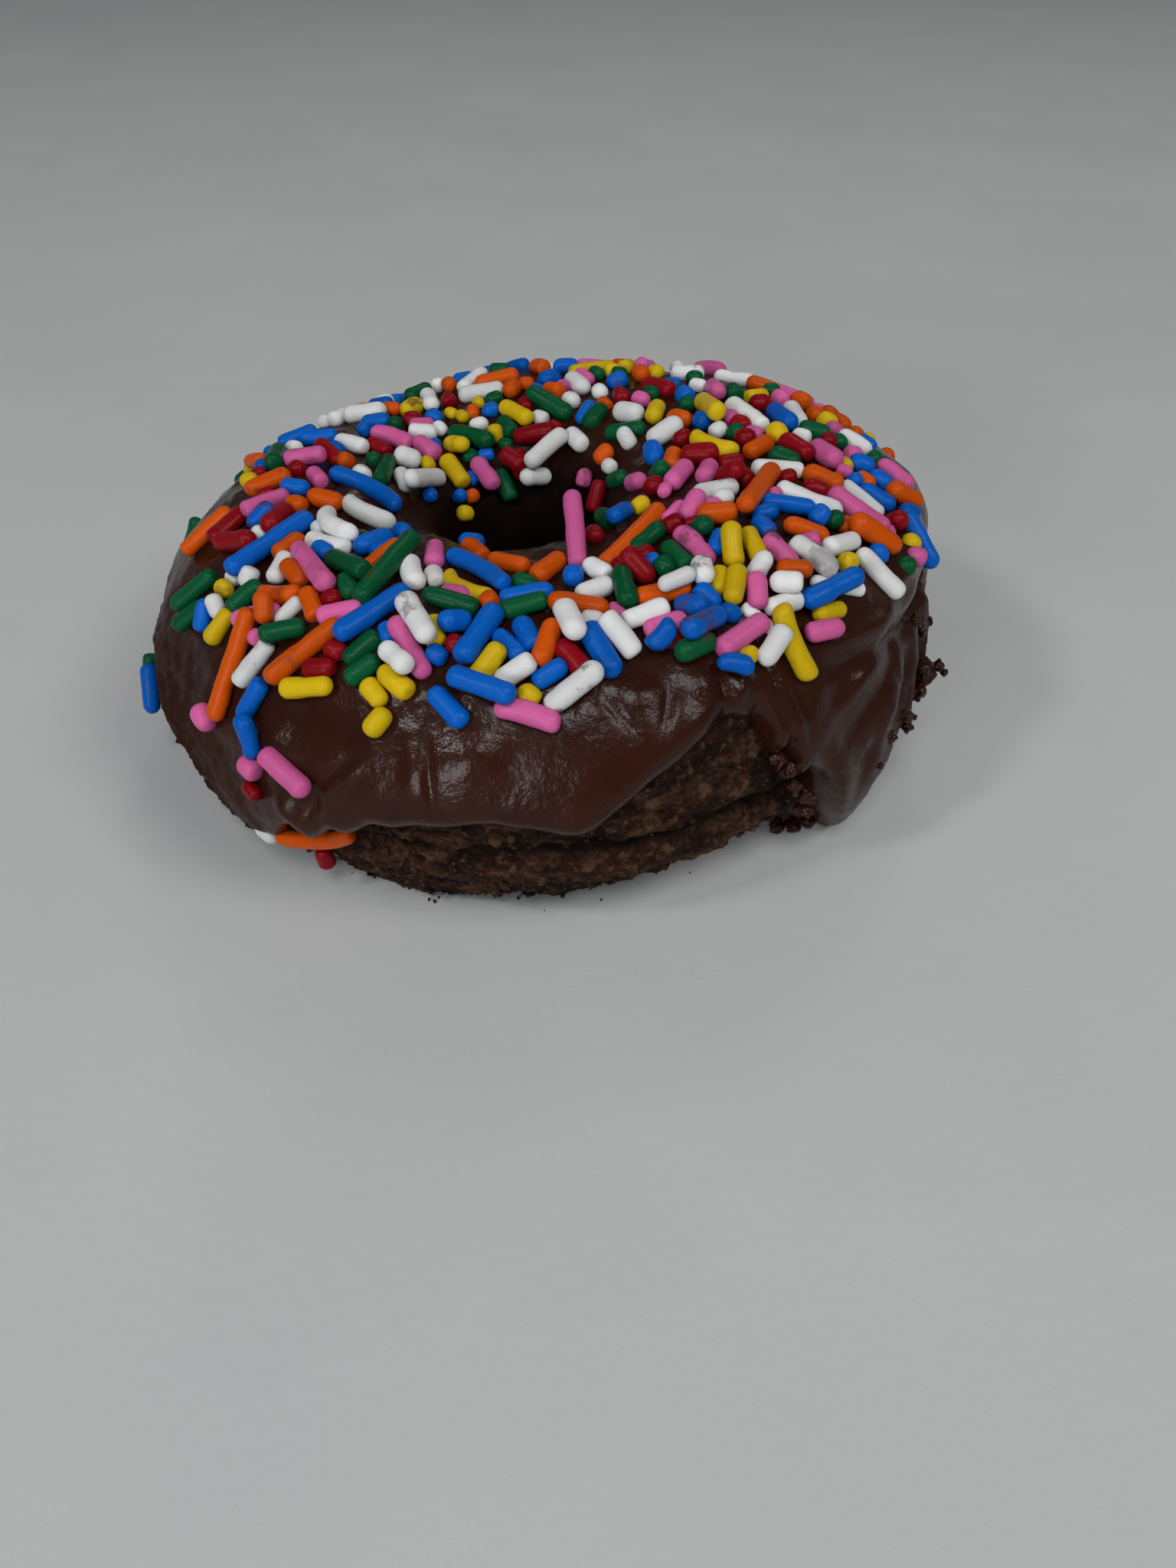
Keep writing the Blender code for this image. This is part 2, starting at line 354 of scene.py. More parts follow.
def cake_points(bearing):
    outer_foot = -np.degrees(np.arctan2(MIDDLE_HEIGHT, around(FOOT_RADIUS, bearing) - RING_RADIUS))[:, None]
    throat_foot = 180 + math.degrees(math.atan2(MIDDLE_HEIGHT, RING_RADIUS - HOLE_FOOT_RADIUS))
    edge = angle_at_height(bearing, edge_height(bearing))[:, None]
    wall = wall_rows(bearing, outer_foot, edge)
    crown = wall[:, -1:] + np.linspace(0, 1, 15)[1:] * (THROAT_ANGLE - 4 - wall[:, -1:])
    throat = np.broadcast_to(np.linspace(THROAT_ANGLE - 2, throat_foot, 16), (len(bearing), 16))
    angle = np.concatenate([wall, crown, throat], 1)
    column = np.broadcast_to(bearing[:, None], angle.shape)
    bare = np.clip((edge + 3 - angle) / 4, 0, 1) + np.clip((angle - THROAT_ANGLE + 6) / 8, 0, 1)
    distance = crust_reach(column, angle) + np.minimum(bare, 1) * crumbed(column, angle)
    points = place(column, angle, distance)
    return np.concatenate([points, underside(points[:, -1], points[:, 0])], 1)


def cake_rise(rings, bearing):
    """How far each point of the cake stands off its smooth shape. The cake's material uses it to paint shade in the
    sunk parts and light on the proud parts.
    """
    around_ring, angle, distance = section_of(rings)
    return (distance - crust_reach(around_ring, angle)).ravel()


def underside(inner, outer):
    """Rows across the flat foot, dented a little between its two rims."""
    share = np.linspace(0, 1, 12)[1:-1][None, :, None]
    flat = inner[:, None] * (1 - share) + outer[:, None] * share
    lift = layered_noise(flat * (1, 1, 0), ((4.0, 0.35), (1.4, 0.25)), 41)
    flat[..., 2] = np.clip(0.25 + lift, 0, 1) * np.sin(np.pi * share[..., 0])
    return flat


# The icing


def coat_marks(bearing, angle):
    total = 0
    for centre, level, width, height, turn, rise in COAT_MARKS:
        across = bearing_gap(bearing, centre)
        up = angle - level
        cos, sin = math.cos(math.radians(turn)), math.sin(math.radians(turn))
        along = up * cos - across * 1.6 * sin
        side = across * cos + up * sin / 1.6
        total = total + rise * np.exp(-((side / width) ** 2) - (along / height) ** 2)
    return total


def coat_thickness(bearing, angle):
    """Thickness of the smooth coat, without the rounding of its edges."""
    side = np.clip(1 - angle / 60, 0, 1)
    drape = DRAPE[2] * bearing_bump(bearing, DRAPE[0], DRAPE[1]) * side
    drip = DRIP[2] * bearing_bump(bearing, DRIP[0], DRIP[1]) * side
    collar = COLLAR[2] * bearing_bump(bearing, COLLAR[0], COLLAR[1]) * bump(angle, COLLAR_ANGLE, COLLAR_SPREAD)
    return ICING_THICKNESS + drape + drip + collar


def lip_bulge(angle, edge):
    return LIP_BULGE * bump(angle, edge + LIP_ROUND, LIP_SPREAD)


def plain_edge_angle():
    """The angle of the icing's edge at each whole bearing, without its small marks."""
    bearing = np.arange(0.0, 361.0)
    return angle_at_height(bearing, around(ICING_EDGE, bearing))


EDGE_ANGLE = plain_edge_angle()


def coat_reach(bearing, angle):
    """Distance from the section's middle to the top of the coat."""
    edge = np.interp(bearing % 360, np.arange(361), EDGE_ANGLE)
    return crust_reach(bearing, angle) + SEAM + coat_thickness(bearing, angle) + lip_bulge(angle, edge)


def worn(bearing, angle):
    """How torn and dull the coat is, from 0 to 1: low on the right, and on the left and the back."""
    right = bearing_bump(bearing, 348, 22) * np.clip(1 - angle / 35, 0, 1)
    left = bearing_bump(bearing, 208, 24) * np.clip(1.15 - angle / 40, 0, 1)
    back = 0.5 * bearing_bump(bearing, 90, 60) * np.clip(1 - angle / 35, 0, 1)
    return np.minimum(right + left + back, 1)


def coat_detail(bearing, angle):
    smooth = place(bearing, angle, coat_reach(bearing, angle))
    crown = np.clip((angle - 38) / 20, 0, 1)
    swell = layered_noise(smooth, ((7.0, 0.28), (3.2, 0.12)), 51)
    lumps = crown * layered_noise(smooth, ((2.4, 0.28), (1.2, 0.12), (0.6, 0.05)), 55)
    torn = worn(bearing, angle) * layered_noise(smooth, ((2.0, 0.5), (1.0, 0.32), (0.5, 0.2)), 59)
    return swell + lumps + torn + coat_marks(bearing, angle)


def icing_points(bearing):
    edge = angle_at_height(bearing, edge_height(bearing))[:, None]
    lip = np.linspace(0, 1, LIP_ROWS) ** 1.6 * 1.4 * LIP_ROUND
    share = np.linspace(0, 1, COAT_ROWS - LIP_ROWS + 1)[1:]
    upper = edge + lip[-1] + share * (THROAT_ANGLE - edge - lip[-1])
    angle = np.concatenate([edge + lip, upper], 1)
    column = np.broadcast_to(bearing[:, None], angle.shape)
    full = coat_thickness(column, angle) + lip_bulge(angle, edge) + coat_detail(column, angle)
    end = rounded(angle - edge, LIP_ROUND) * rounded(THROAT_ANGLE - angle, THROAT_ROUND)
    coat = crust_reach(column, angle) + end * np.maximum(full + SEAM, 0.5)
    inner = np.linspace(0, angle.shape[1] - 1, 14).astype(int)[::-1]
    lining = crust_reach(column, angle)[:, inner] - SUNK
    return np.concatenate([place(column, angle, coat), place(column[:, inner], angle[:, inner], lining)], 1)


def icing_depth(rings):
    """0 outside the hole, rising to 1 down its wall. The icing's material uses it to darken the colour there as
    painted shade, and to dull the surface.
    """
    return np.clip((section_of(rings)[1] - 124) / 18, 0, 1).ravel()


def icing_wear(rings):
    bearing, angle, _ = section_of(rings)
    return worn(bearing, angle).ravel()


# Meshes


def mesh_from(name, points, faces, smooth=True):
    mesh = bpy.data.meshes.new(name)
    mesh.vertices.add(len(points))
    mesh.vertices.foreach_set("co", (points * METRES).astype(np.float32).ravel())
    size = faces.shape[1]
    mesh.loops.add(faces.size)
    mesh.loops.foreach_set("vertex_index", faces.astype(np.int32).ravel())
    mesh.polygons.add(len(faces))
    mesh.polygons.foreach_set("loop_start", np.arange(0, faces.size, size, dtype=np.int32))
    mesh.update(calc_edges=True)
    mesh.validate()
    if smooth:
        mesh.shade_smooth()
    return mesh


def ring_faces(around_count, section_count):
    """Quads of a closed surface laid out as (bearing, step round the section)."""
    near = np.arange(around_count)[:, None] * section_count
    far = np.roll(near, -1, axis=0)
    step = np.arange(section_count)[None, :]
    ahead = (step + 1) % section_count
    return np.stack([near + step, far + step, far + ahead, near + ahead], -1).reshape(-1, 4)


def add_piece(name, points, faces, material):
    """A piece of the doughnut, moved from the ring's frame to the part's."""
    piece = bpy.data.objects.new(name, mesh_from(name, points - PART_MIDDLE, faces))
    piece.data.materials.append(material)
    bpy.context.scene.collection.objects.link(piece)
    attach(piece, "root")
    return piece


def set_values(piece, name, values):
    attribute = piece.data.attributes.new(name, "FLOAT", "POINT")
    attribute.data.foreach_set("value", np.asarray(values, np.float32))


def bearings(fine_step, step):
    fine = np.arange(FINE_FROM, FINE_TO, fine_step)
    return np.concatenate([fine, np.arange(FINE_TO, FINE_FROM + 360, step)]) % 360


# The sprinkles

SPRINKLE_RADIUS = 0.94
PRESSED_IN = 0.35  # how far a sprinkle sinks into the icing
SEEN_LIFT = 1.1  # the places below are on a surface this far above the coat
LAYER_LIFT = 1.7
COLOURS = {
    "W": "white",
    "Y": "yellow",
    "O": "orange",
    "R": "red",
    "P": "pink",
    "B": "blue",
    "G": "green",
}
# Sprinkles on the crown: colour, layer, then its two tips as x, y and x, y, then its bow and its girth
CROWN = (
    # front left
    ("G", 0, -37.1, -15.7, -32.0, -15.3),
    ("G", 0, -36.3, -18.4, -32.0, -19.4),
    ("B", 0, -32.5, -18.3, -32.4, -22.0, 0, 0.9),
    ("Y", 0, -31.5, -16.9, -29.2, -20.2),
    ("W", 1, -32.0, -18.2, -29.9, -22.4),
    ("Y", 1, -31.3, -23.8, -28.8, -22.0),
    ("W", 0, -30.2, -16.2, -28.8, -19.2, 0, 0.9),
    ("W", 0, -28.8, -16.2, -27.0, -20.6, 0, 1.05),
    ("G", 1, -29.3, -21.9, -26.0, -20.4),
    ("P", 0, -28.8, -23.3, -23.2, -25.1),
    ("O", 1, -26.3, -21.4, -21.3, -23.8, 0.5),
    ("O", 1, -25.6, -21.8, -24.9, -25.8),
    ("W", 0, -24.1, -16.4, -24.7, -21.3, 0, 1.05),
    ("O", 0, -24.3, -17.9, -21.0, -23.3),
    ("P", 2, -23.9, -14.4, -18.4, -24.7, 0, 1.1),
    ("B", 0, -21.9, -15.1, -19.0, -19.0),
    ("G", 1, -20.1, -18.3, -15.2, -23.2, 0, 1.1),
    ("G", 0, -17.5, -21.5, -16.3, -26.2),
    ("O", 1, -13.0, -15.8, -16.0, -21.8, 0, 0.75),
    ("G", 2, -11.6, -14.2, -15.9, -26.5, 0, 1.1),
    ("W", 1, -12.3, -18.5, -10.0, -25.4, 0.3, 1.1),
    ("P", 0, -9.9, -15.2, -9.2, -21.8),
    ("W", 1, -9.9, -21.1, -8.3, -25.0, 0, 0.95),
    ("B", 2, -8.3, -18.3, -2.0, -26.2, -0.5),
    ("O", 1, -7.2, -14.6, -4.5, -20.4, -0.3),
    ("O", 0, -4.4, -19.9, -0.2, -22.8),
    ("Y", 1, -8.1, -22.5, -3.2, -27.4, 0.9, 0.95),
    ("P", 0, -8.4, -25.8, -5.2, -27.2, 0, 1.1),
    ("O", 0, -4.0, -26.4, -3.3, -29.0),
    ("G", 0, -9.9, -25.6, -4.6, -28.8),
    ("B", 1, -8.3, -29.6, -5.1, -30.0, 0, 1.15),
    ("B", 1, -2.9, -28.5, -6.0, -34.0, 0, 1.15),
    ("Y", 0, -8.6, -28.8, -8.2, -32.6),
    ("W", 2, -11.8, -25.9, -8.6, -31.9, 0, 1.12),
    ("R", 0, -7.3, -31.6, -5.4, -33.2),
    ("B", 0, -9.0, -32.3, -7.1, -33.8, 0, 0.95),
    ("P", 1, -12.4, -28.6, -8.8, -34.9),
    ("B", 0, -13.1, -29.0, -12.0, -31.6, 0, 0.95),
    ("W", 2, -13.2, -31.2, -10.2, -34.0, 0, 1.08),
    ("G", 0, -16.4, -32.2, -13.4, -30.2),
    ("G", 0, -16.2, -33.6, -13.2, -32.4),
    ("Y", 0, -13.2, -33.2, -10.1, -35.9, 0, 1.1),
    ("Y", 0, -14.5, -33.9, -12.6, -36.1),
    ("Y", 0, -14.2, -37.4, -12.2, -36.4, 0, 1.1),
    ("B", 2, -17.6, -29.6, -11.2, -25.0, 0, 1.12),
    ("P", 1, -19.5, -27.3, -15.2, -26.9),
    ("O", 1, -24.2, -30.8, -17.2, -28.3, 0, 1.05),
    ("R", 0, -20.6, -31.4, -17.1, -32.3),
    ("R", 0, -18.4, -30.1, -16.3, -31.7),
    ("Y", 0, -22.8, -31.9, -17.3, -33.6, 0, 1.05),
    ("G", 1, -25.4, -26.6, -20.5, -27.8),
    ("W", 0, -23.7, -26.3, -21.2, -24.6, 0, 0.8),
    ("O", 0, -21.1, -23.2, -19.5, -27.7),
    ("R", 0, -19.0, -24.0, -17.7, -26.4),
    ("P", 0, -27.0, -25.2, -25.2, -27.2, 0, 0.9),
    ("B", 0, -2.8, -27.6, 2.1, -26.9),
    ("G", 0, -2.9, -29.3, 1.5, -28.2),
    ("G", 0, -1.8, -24.4, 0.6, -26.6),
    ("B", 0, -1.1, -30.2, 0.9, -34.0, 0, 1.05),
    ("B", 0, -3.1, -31.6, -0.2, -34.4, 0, 0.95),
    ("Y", 1, -4.7, -35.8, -2.3, -32.9, 0, 1.08),
    ("R", 0, -6.0, -34.2, -4.9, -35.2, 0, 0.8),
    ("W", 0, -2.8, -36.3, 0.6, -34.4, 0, 1.05),
    ("B", 1, -7.0, -34.8, -1.0, -37.3, 0, 1.05),
    ("B", 0, -8.5, -35.7, -5.3, -38.6, 0, 1.05),
    ("Y", 0, -0.7, -36.7, 0.9, -37.8),
    ("P", 1, -2.9, -37.7, 2.8, -39.3, -0.3, 1.1),
    # front right
    ("O", 0, 0.0, -25.2, 3.0, -21.0, 0, 1.1),
    ("B", 0, 3.8, -23.0, 3.8, -26.8, 0, 1.05),
    ("W", 0, 4.8, -22.2, 7.2, -25.6, 0, 1.05),
    ("W", 0, 4.0, -28.2, 7.5, -26.3, 0, 1.05),
    ("G", 1, 8.0, -23.8, 8.8, -29.8, 0, 1.05),
    ("R", 1, 8.2, -21.6, 10.9, -26.6, 0, 1.15),
    ("R", 0, 7.2, -24.2, 11.3, -21.9),
    ("G", 0, 8.6, -21.2, 12.4, -18.2),
    ("G", 0, 12.2, -20.7, 14.3, -25.2),
    ("G", 0, 11.4, -23.3, 12.8, -25.6),
    ("B", 0, 10.6, -23.9, 11.4, -23.0, 0, 0.7),
    ("W", 1, 11.4, -27.2, 14.8, -25.3, 0, 0.85),
    ("O", 0, 9.3, -28.5, 14.4, -27.2),
    ("P", 1, 13.3, -19.5, 16.2, -24.7, -0.4, 1.05),
    ("W", 1, 15.3, -23.4, 15.7, -27.2, 0, 1.05),
    ("P", 1, 14.1, -18.2, 16.1, -12.8, 0, 1.05),
    ("P", 0, 12.1, -17.6, 14.6, -15.0, 0, 0.8),
    ("P", 0, 16.3, -15.4, 18.0, -16.0, 0, 0.85),
    ("R", 0, 12.1, -18.6, 13.9, -17.8),
    ("R", 0, 14.4, -18.4, 15.3, -18.0, 0, 0.7),
    ("W", 0, 17.4, -16.9, 18.8, -12.5, 0, 1.1),
    ("O", 1, 15.4, -17.4, 19.3, -17.0, 0, 1.15),
    ("G", 1, 14.9, -20.4, 16.6, -18.2, 0, 1.1),
    ("B", 0, 16.4, -23.6, 17.7, -19.8, 0, 0.95),
    ("Y", 1, 18.4, -18.6, 18.4, -24.8, 0, 1.05),
    ("Y", 0, 19.8, -19.4, 21.2, -24.0),
    ("W", 1, 21.7, -22.4, 19.9, -26.0),
    ("P", 1, 20.4, -24.8, 20.2, -28.6, 0, 1.08),
    ("Y", 0, 17.1, -24.7, 16.6, -28.2, 0, 0.95),
    ("Y", 1, 18.7, -24.3, 17.8, -28.9),
    ("O", 2, 19.6, -17.4, 24.3, -6.2, 0, 1.05),
    ("P", 0, 22.4, -14.9, 24.0, -12.0, 0, 0.85),
    ("W", 0, 23.4, -12.0, 29.9, -14.0, 0.2, 1.12),
    ("B", 1, 21.6, -15.2, 27.2, -14.7, -0.3, 0.95),
    ("B", 1, 26.5, -16.9, 28.3, -14.0, 0, 1.05),
    ("B", 0, 20.4, -17.6, 23.4, -16.0),
    ("B", 0, 20.7, -17.9, 22.4, -20.4),
    ("G", 0, 28.2, -16.4, 29.8, -14.0, 0, 0.95),
    ("O", 0, 30.4, -14.0, 29.6, -16.9, 0, 0.95),
    ("O", 2, 30.8, -13.8, 35.8, -15.4, 0, 1.18),
    ("O", 0, 23.5, -18.2, 27.9, -18.8, 0, 1.0),
    ("P", 0, 24.9, -20.4, 26.9, -19.3, 0, 0.95),
    ("P", 1, 21.5, -20.5, 24.1, -23.5),
    ("W", 1, 24.0, -20.4, 28.0, -23.0, -0.4, 1.12),
    ("W", 1, 26.9, -20.4, 31.6, -16.3, 0, 1.05),
    ("Y", 0, 28.4, -21.4, 30.9, -19.4),
    ("B", 0, 32.0, -18.0, 34.6, -16.2, 0, 1.1),
    ("W", 1, 30.9, -18.3, 35.6, -19.6, 0, 1.05),
    ("G", 0, 35.3, -17.2, 37.4, -15.5, 0, 1.05),
    ("Y", 0, 36.2, -13.9, 38.7, -12.3, 0, 1.1),
    ("P", 0, 36.7, -15.0, 39.0, -13.2, 0, 1.08),
    ("O", 1, 22.2, -24.2, 25.9, -23.0),
    ("W", 1, 21.5, -25.6, 24.8, -24.8, 0, 1.12),
    ("W", 1, 20.8, -28.5, 24.6, -26.1),
    ("B", 2, 24.5, -26.7, 31.2, -20.7, 0, 1.1),
    ("W", 0, 25.6, -23.8, 31.1, -22.6, 0, 0.75),
    ("Y", 0, 25.5, -27.4, 29.1, -25.0, 0, 0.95),
    ("P", 0, 24.6, -28.9, 28.8, -26.4, 0, 1.05),
    ("Y", 1, 22.4, -27.4, 25.4, -31.3, 0.5, 1.08),
    ("W", 0, 18.9, -28.4, 22.1, -29.9, 0, 0.65),
    ("W", 1, 20.2, -33.2, 23.0, -29.0, 0, 1.08),
    ("P", 0, 16.4, -33.4, 21.1, -29.0, 0, 1.12),
    ("Y", 0, 18.0, -33.4, 20.3, -32.2, 0, 0.9),
    ("B", 0, 16.3, -34.0, 19.7, -33.7, -0.3, 0.95),
    ("G", 0, 12.6, -33.9, 16.3, -32.0, 0, 1.1),
    ("R", 0, 11.6, -33.0, 13.5, -31.9, 0, 0.9),
    ("B", 1, 13.2, -32.0, 17.3, -29.6, 0, 1.1),
    ("B", 0, 16.8, -29.4, 18.7, -29.2, 0, 0.95),
    ("B", 0, 12.7, -29.2, 15.9, -29.1, 0, 1.1),
    ("B", 0, 15.0, -26.6, 16.6, -29.4, 0, 1.05),
    ("P", 0, 10.0, -32.1, 13.9, -30.5),
    ("B", 1, 10.3, -33.4, 12.5, -30.7, 0.4, 1.0),
    ("W", 0, 8.1, -31.2, 12.3, -29.5, 0, 1.05),
    ("W", 0, 6.5, -30.3, 9.3, -34.2, 0, 1.12),
    ("P", 0, 7.0, -29.0, 8.4, -30.6, 0, 0.7),
    ("O", 0, 1.5, -28.2, 7.1, -29.8),
    ("W", 1, 2.5, -28.4, 4.5, -33.0, 0, 1.15),
    ("W", 0, 4.6, -31.0, 6.5, -31.2, 0, 1.05),
    ("B", 0, 4.9, -31.3, 7.6, -36.0, 0, 1.12),
    ("O", 0, 2.3, -30.6, 0.7, -35.2, 0, 1.05),
    ("R", 0, 2.4, -33.0, 5.3, -36.2, 0, 1.1),
    ("W", 1, 1.6, -38.3, 6.3, -35.1, 0, 1.12),
    ("B", 0, 0.5, -36.5, 3.3, -34.9, 0, 0.95),
    # middle left
    ("O", 1, -32.6, -4.6, -37.4, -8.2, 0, 1.05),
    ("R", 0, -31.8, 2.4, -30.6, 3.4, 0, 0.8),
    ("Y", 0, -32.5, 2.2, -31.4, 0.8, 0, 1.05),
    ("B", 0, -31.9, 7.2, -30.8, 3.6, 0, 0.95),
    ("O", 0, -35.2, 13.0, -31.5, 7.6),
    ("G", 1, -30.1, 4.4, -30.9, 12.6, 0, 1.1),
    ("O", 1, -31.8, -1.4, -27.2, 1.2, 0, 1.15),
    ("B", 0, -28.8, 13.4, -24.0, 13.0),
    ("B", 0, -24.6, 10.4, -22.6, 7.4),
    ("W", 0, -29.6, 10.8, -27.9, 9.8),
    ("P", 2, -29.2, 6.2, -24.4, 7.4, 0, 1.2),
    ("R", 0, -26.3, 11.6, -22.0, 4.2),
    ("R", 0, -27.6, 4.0, -26.0, 1.0, 0, 1.1),
    ("P", 0, -25.5, 2.6, -22.9, -2.0, 0, 1.0),
    ("B", 0, -27.8, -1.8, -24.4, -2.6, 0, 1.05),
    ("O", 1, -24.6, -3.8, -20.2, -5.6, 0, 1.22),
    ("O", 0, -26.6, -5.2, -23.9, -6.8, 0, 1.1),
    ("P", 1, -31.1, -6.0, -26.4, -3.7),
    ("R", 0, -29.8, -3.2, -28.2, -2.9, 0, 0.8),
    ("R", 0, -30.4, -6.0, -33.9, -9.4, 0, 1.1),
    ("R", 1, -33.4, -10.0, -28.1, -12.2, 0, 1.15),
    ("B", 1, -27.8, -5.7, -29.6, -9.6, 0, 1.08),
    ("R", 1, -25.8, -6.2, -27.8, -10.8, 0, 1.12),
    ("W", 0, -29.2, -10.4, -26.8, -12.2),
    ("B", 2, -23.3, -8.3, -30.4, -16.4, 0, 1.12),
    ("W", 0, -22.6, -10.2, -20.8, -12.6),
    ("W", 1, -22.3, -7.2, -17.2, -15.8, 1.0, 1.1),
    ("W", 0, -22.9, -13.6, -17.4, -17.4, 0.4, 1.1),
    ("W", 1, -20.6, -4.4, -14.2, -10.8, 1.0, 1.12),
    ("B", 1, -23.2, 2.2, -14.8, -3.9, -1.2, 1.1),
    ("W", 0, -20.6, 3.6, -18.8, 0.8, 0, 1.15),
    ("O", 0, -22.9, 6.7, -21.0, 4.8),
    ("W", 0, -24.3, 12.1, -20.0, 9.6, 0, 1.08),
    ("R", 0, -20.6, 11.4, -17.4, 9.2, 0, 0.95),
    ("G", 0, -19.8, 7.8, -18.2, 6.0),
    ("G", 0, -17.4, 8.8, -17.6, -0.3, 0, 1.05),
    ("P", 1, -20.5, 14.3, -15.2, 11.4, -0.4, 1.15),
    ("W", 1, -17.2, 8.9, -14.0, 8.6, 0, 1.3),
    ("W", 2, -15.5, 3.4, -11.1, 7.1, 0, 1.15),
    ("W", 0, -16.4, 6.2, -14.2, 0.4),
    ("Y", 0, -13.8, 9.8, -12.7, 7.2, 0, 0.9),
    ("P", 1, -15.3, 13.1, -12.1, 9.8, 0, 1.2),
    ("B", 0, -13.0, 12.9, -12.4, 11.6, 0, 0.8),
    ("W", 0, -16.1, 14.7, -12.6, 14.4, 0, 1.12),
    ("G", 0, -18.0, 17.6, -17.6, 14.4, 0, 1.05),
    ("B", 0, -21.8, 15.6, -18.4, 17.2, 0, 1.2),
    ("B", 0, -21.6, 15.8, -20.8, 13.4, 0, 0.95),
    ("W", 0, -21.6, 18.0, -19.2, 18.3, 0, 0.8),
    ("G", 0, -18.2, -14.0, -15.8, -16.2, 0, 0.9),
    ("B", 0, -17.4, -17.8, -14.0, -14.2, 0, 1.15),
    ("B", 0, -15.4, -19.6, -13.6, -16.6, 0, 0.95),
    ("B", 0, -14.4, -12.2, -12.2, -14.6, 0, 1.05),
    ("W", 2, -24.6, 20.0, -19.3, 20.6, 0, 1.15),
    ("R", 0, -16.9, 17.8, -14.6, 16.9, 0, 1.15),
    ("Y", 0, -17.5, 19.2, -15.1, 22.4, 0, 1.15),
    ("O", 0, -19.9, 20.3, -17.4, 20.6),
    ("W", 1, -15.3, 27.2, -13.6, 19.8, 0, 1.1),
    ("W", 0, -13.9, 28.4, -13.6, 26.8),
    ("O", 1, -12.4, 28.0, -12.2, 26.0, 0, 1.05),
    ("R", 0, -12.4, 24.2, -11.4, 20.4),
    ("B", 0, -13.9, 19.6, -12.8, 16.4, 0, 1.15),
    ("W", 0, -12.9, 16.2, -12.0, 14.8, 0, 0.95),
    ("Y", 0, -12.0, 19.3, -10.6, 18.2, 0, 0.8),
    ("Y", 0, -10.0, 18.8, -9.6, 17.4, 0, 0.85),
    ("O", 0, -9.3, 20.0, -8.4, 16.9, 0, 0.9),
    ("Y", 0, -8.4, 21.2, -7.7, 19.4, 0, 0.85),
    ("P", 0, -16.2, 16.4, -13.2, 16.6, 0, 0.8),
    # back middle
    ("W", 1, -10.8, 22.9, -5.0, 22.4, 0, 1.12),
    ("G", 1, -11.4, 15.2, -5.8, 12.6, 0, 1.15),
    ("Y", 1, -11.7, 12.8, -8.6, 12.6, 0, 1.1),
    ("Y", 1, -11.6, 10.4, -8.9, 7.0, 0, 1.15),
    ("G", 0, -9.3, 10.6, -8.0, 11.6, 0, 0.9),
    ("B", 0, -8.7, 8.8, -7.8, 7.8, 0, 0.8),
    ("P", 1, -8.4, 10.8, -5.4, 8.0, 0, 1.15),
    ("B", 0, -7.3, 12.0, -6.2, 11.0, 0, 0.9),
    ("Y", 0, -6.1, 15.6, -5.2, 12.6, 0, 1.05),
    ("W", 0, -8.9, 15.5, -6.7, 16.2),
    ("B", 0, -7.4, 18.0, -5.6, 18.2),
    ("G", 0, -7.0, 20.0, -5.4, 20.8),
    ("O", 1, -8.9, 24.8, -3.4, 26.2, 0, 1.15),
    ("G", 0, -7.4, 29.4, -4.7, 28.8),
    ("O", 0, -4.9, 20.4, -3.4, 24.2, 0, 1.15),
    ("O", 0, -3.2, 23.0, -1.6, 23.2, 0, 0.9),
    ("Y", 1, -5.5, 19.1, -1.3, 14.8, 0, 1.1),
    ("R", 0, -2.9, 19.2, -1.3, 17.2),
    ("G", 1, -2.5, 20.7, 3.3, 15.0, 0, 1.15),
    ("W", 0, -1.6, 16.0, 0.5, 14.8, 0, 0.95),
    ("R", 0, -3.6, 12.8, 1.3, 13.4, 0, 1.1),
    ("R", 0, 0.2, 14.2, 2.0, 12.8),
    ("R", 0, -5.0, 11.6, -1.8, 9.2, 0, 1.15),
    ("R", 0, -3.2, 11.4, -2.4, 8.4, 0, 1.1),
    ("W", 2, -2.1, 9.6, 2.6, 12.8, 0, 1.15),
    ("W", 0, -3.0, 9.0, 1.0, 8.2, 0, 1.1),
    ("W", 1, 2.5, 13.0, 5.0, 8.4, 0, 1.12),
    ("G", 0, -5.4, 9.8, -3.6, 7.2, 0, 1.05),
    ("G", 0, -5.0, 12.6, -3.8, 12.0, 0, 0.8),
    ("G", 0, -5.2, 16.6, -3.8, 12.8, 0, 1.05),
    ("B", 0, -1.0, 23.4, 1.6, 25.2, 0, 1.2),
    ("B", 0, -1.4, 21.8, -0.6, 20.6, 0, 0.9),
    ("O", 1, -0.4, 21.1, 2.3, 20.4, 0, 1.15),
    ("P", 0, 1.4, 23.0, 2.8, 20.8),
    ("W", 0, 2.4, 25.6, 5.3, 19.3, 0, 1.2),
    ("P", 0, 3.6, 26.5, 5.7, 21.4),
    ("W", 1, 2.3, 19.4, 3.9, 17.2, 0, 1.15),
    ("B", 0, 3.9, 13.2, 5.9, 17.0),
    ("G", 0, 5.2, 27.6, 7.1, 23.4),
    ("Y", 0, 7.2, 26.2, 9.1, 25.8),
    ("G", 0, 8.3, 25.2, 9.8, 23.8),
    ("B", 0, 7.5, 21.4, 9.9, 22.0, 0, 1.25),
    ("W", 0, 6.2, 20.7, 6.9, 17.6, 0, 1.05),
    ("O", 0, 6.3, 17.0, 7.8, 13.2, 0, 0.95),
    ("G", 0, 4.8, 11.9, 7.2, 15.0, 0, 1.15),
    ("R", 0, 8.4, 16.8, 9.8, 14.4),
    ("R", 0, 8.8, 18.2, 9.0, 15.2),
    ("W", 1, 8.0, 13.0, 11.5, 9.6, 0, 1.3),
    ("P", 0, 10.5, 14.6, 12.0, 12.6, 0, 1.08),
    ("G", 0, 11.6, 15.6, 13.2, 13.8),
    ("R", 0, 11.4, 18.6, 15.1, 13.2, 0, 1.15),
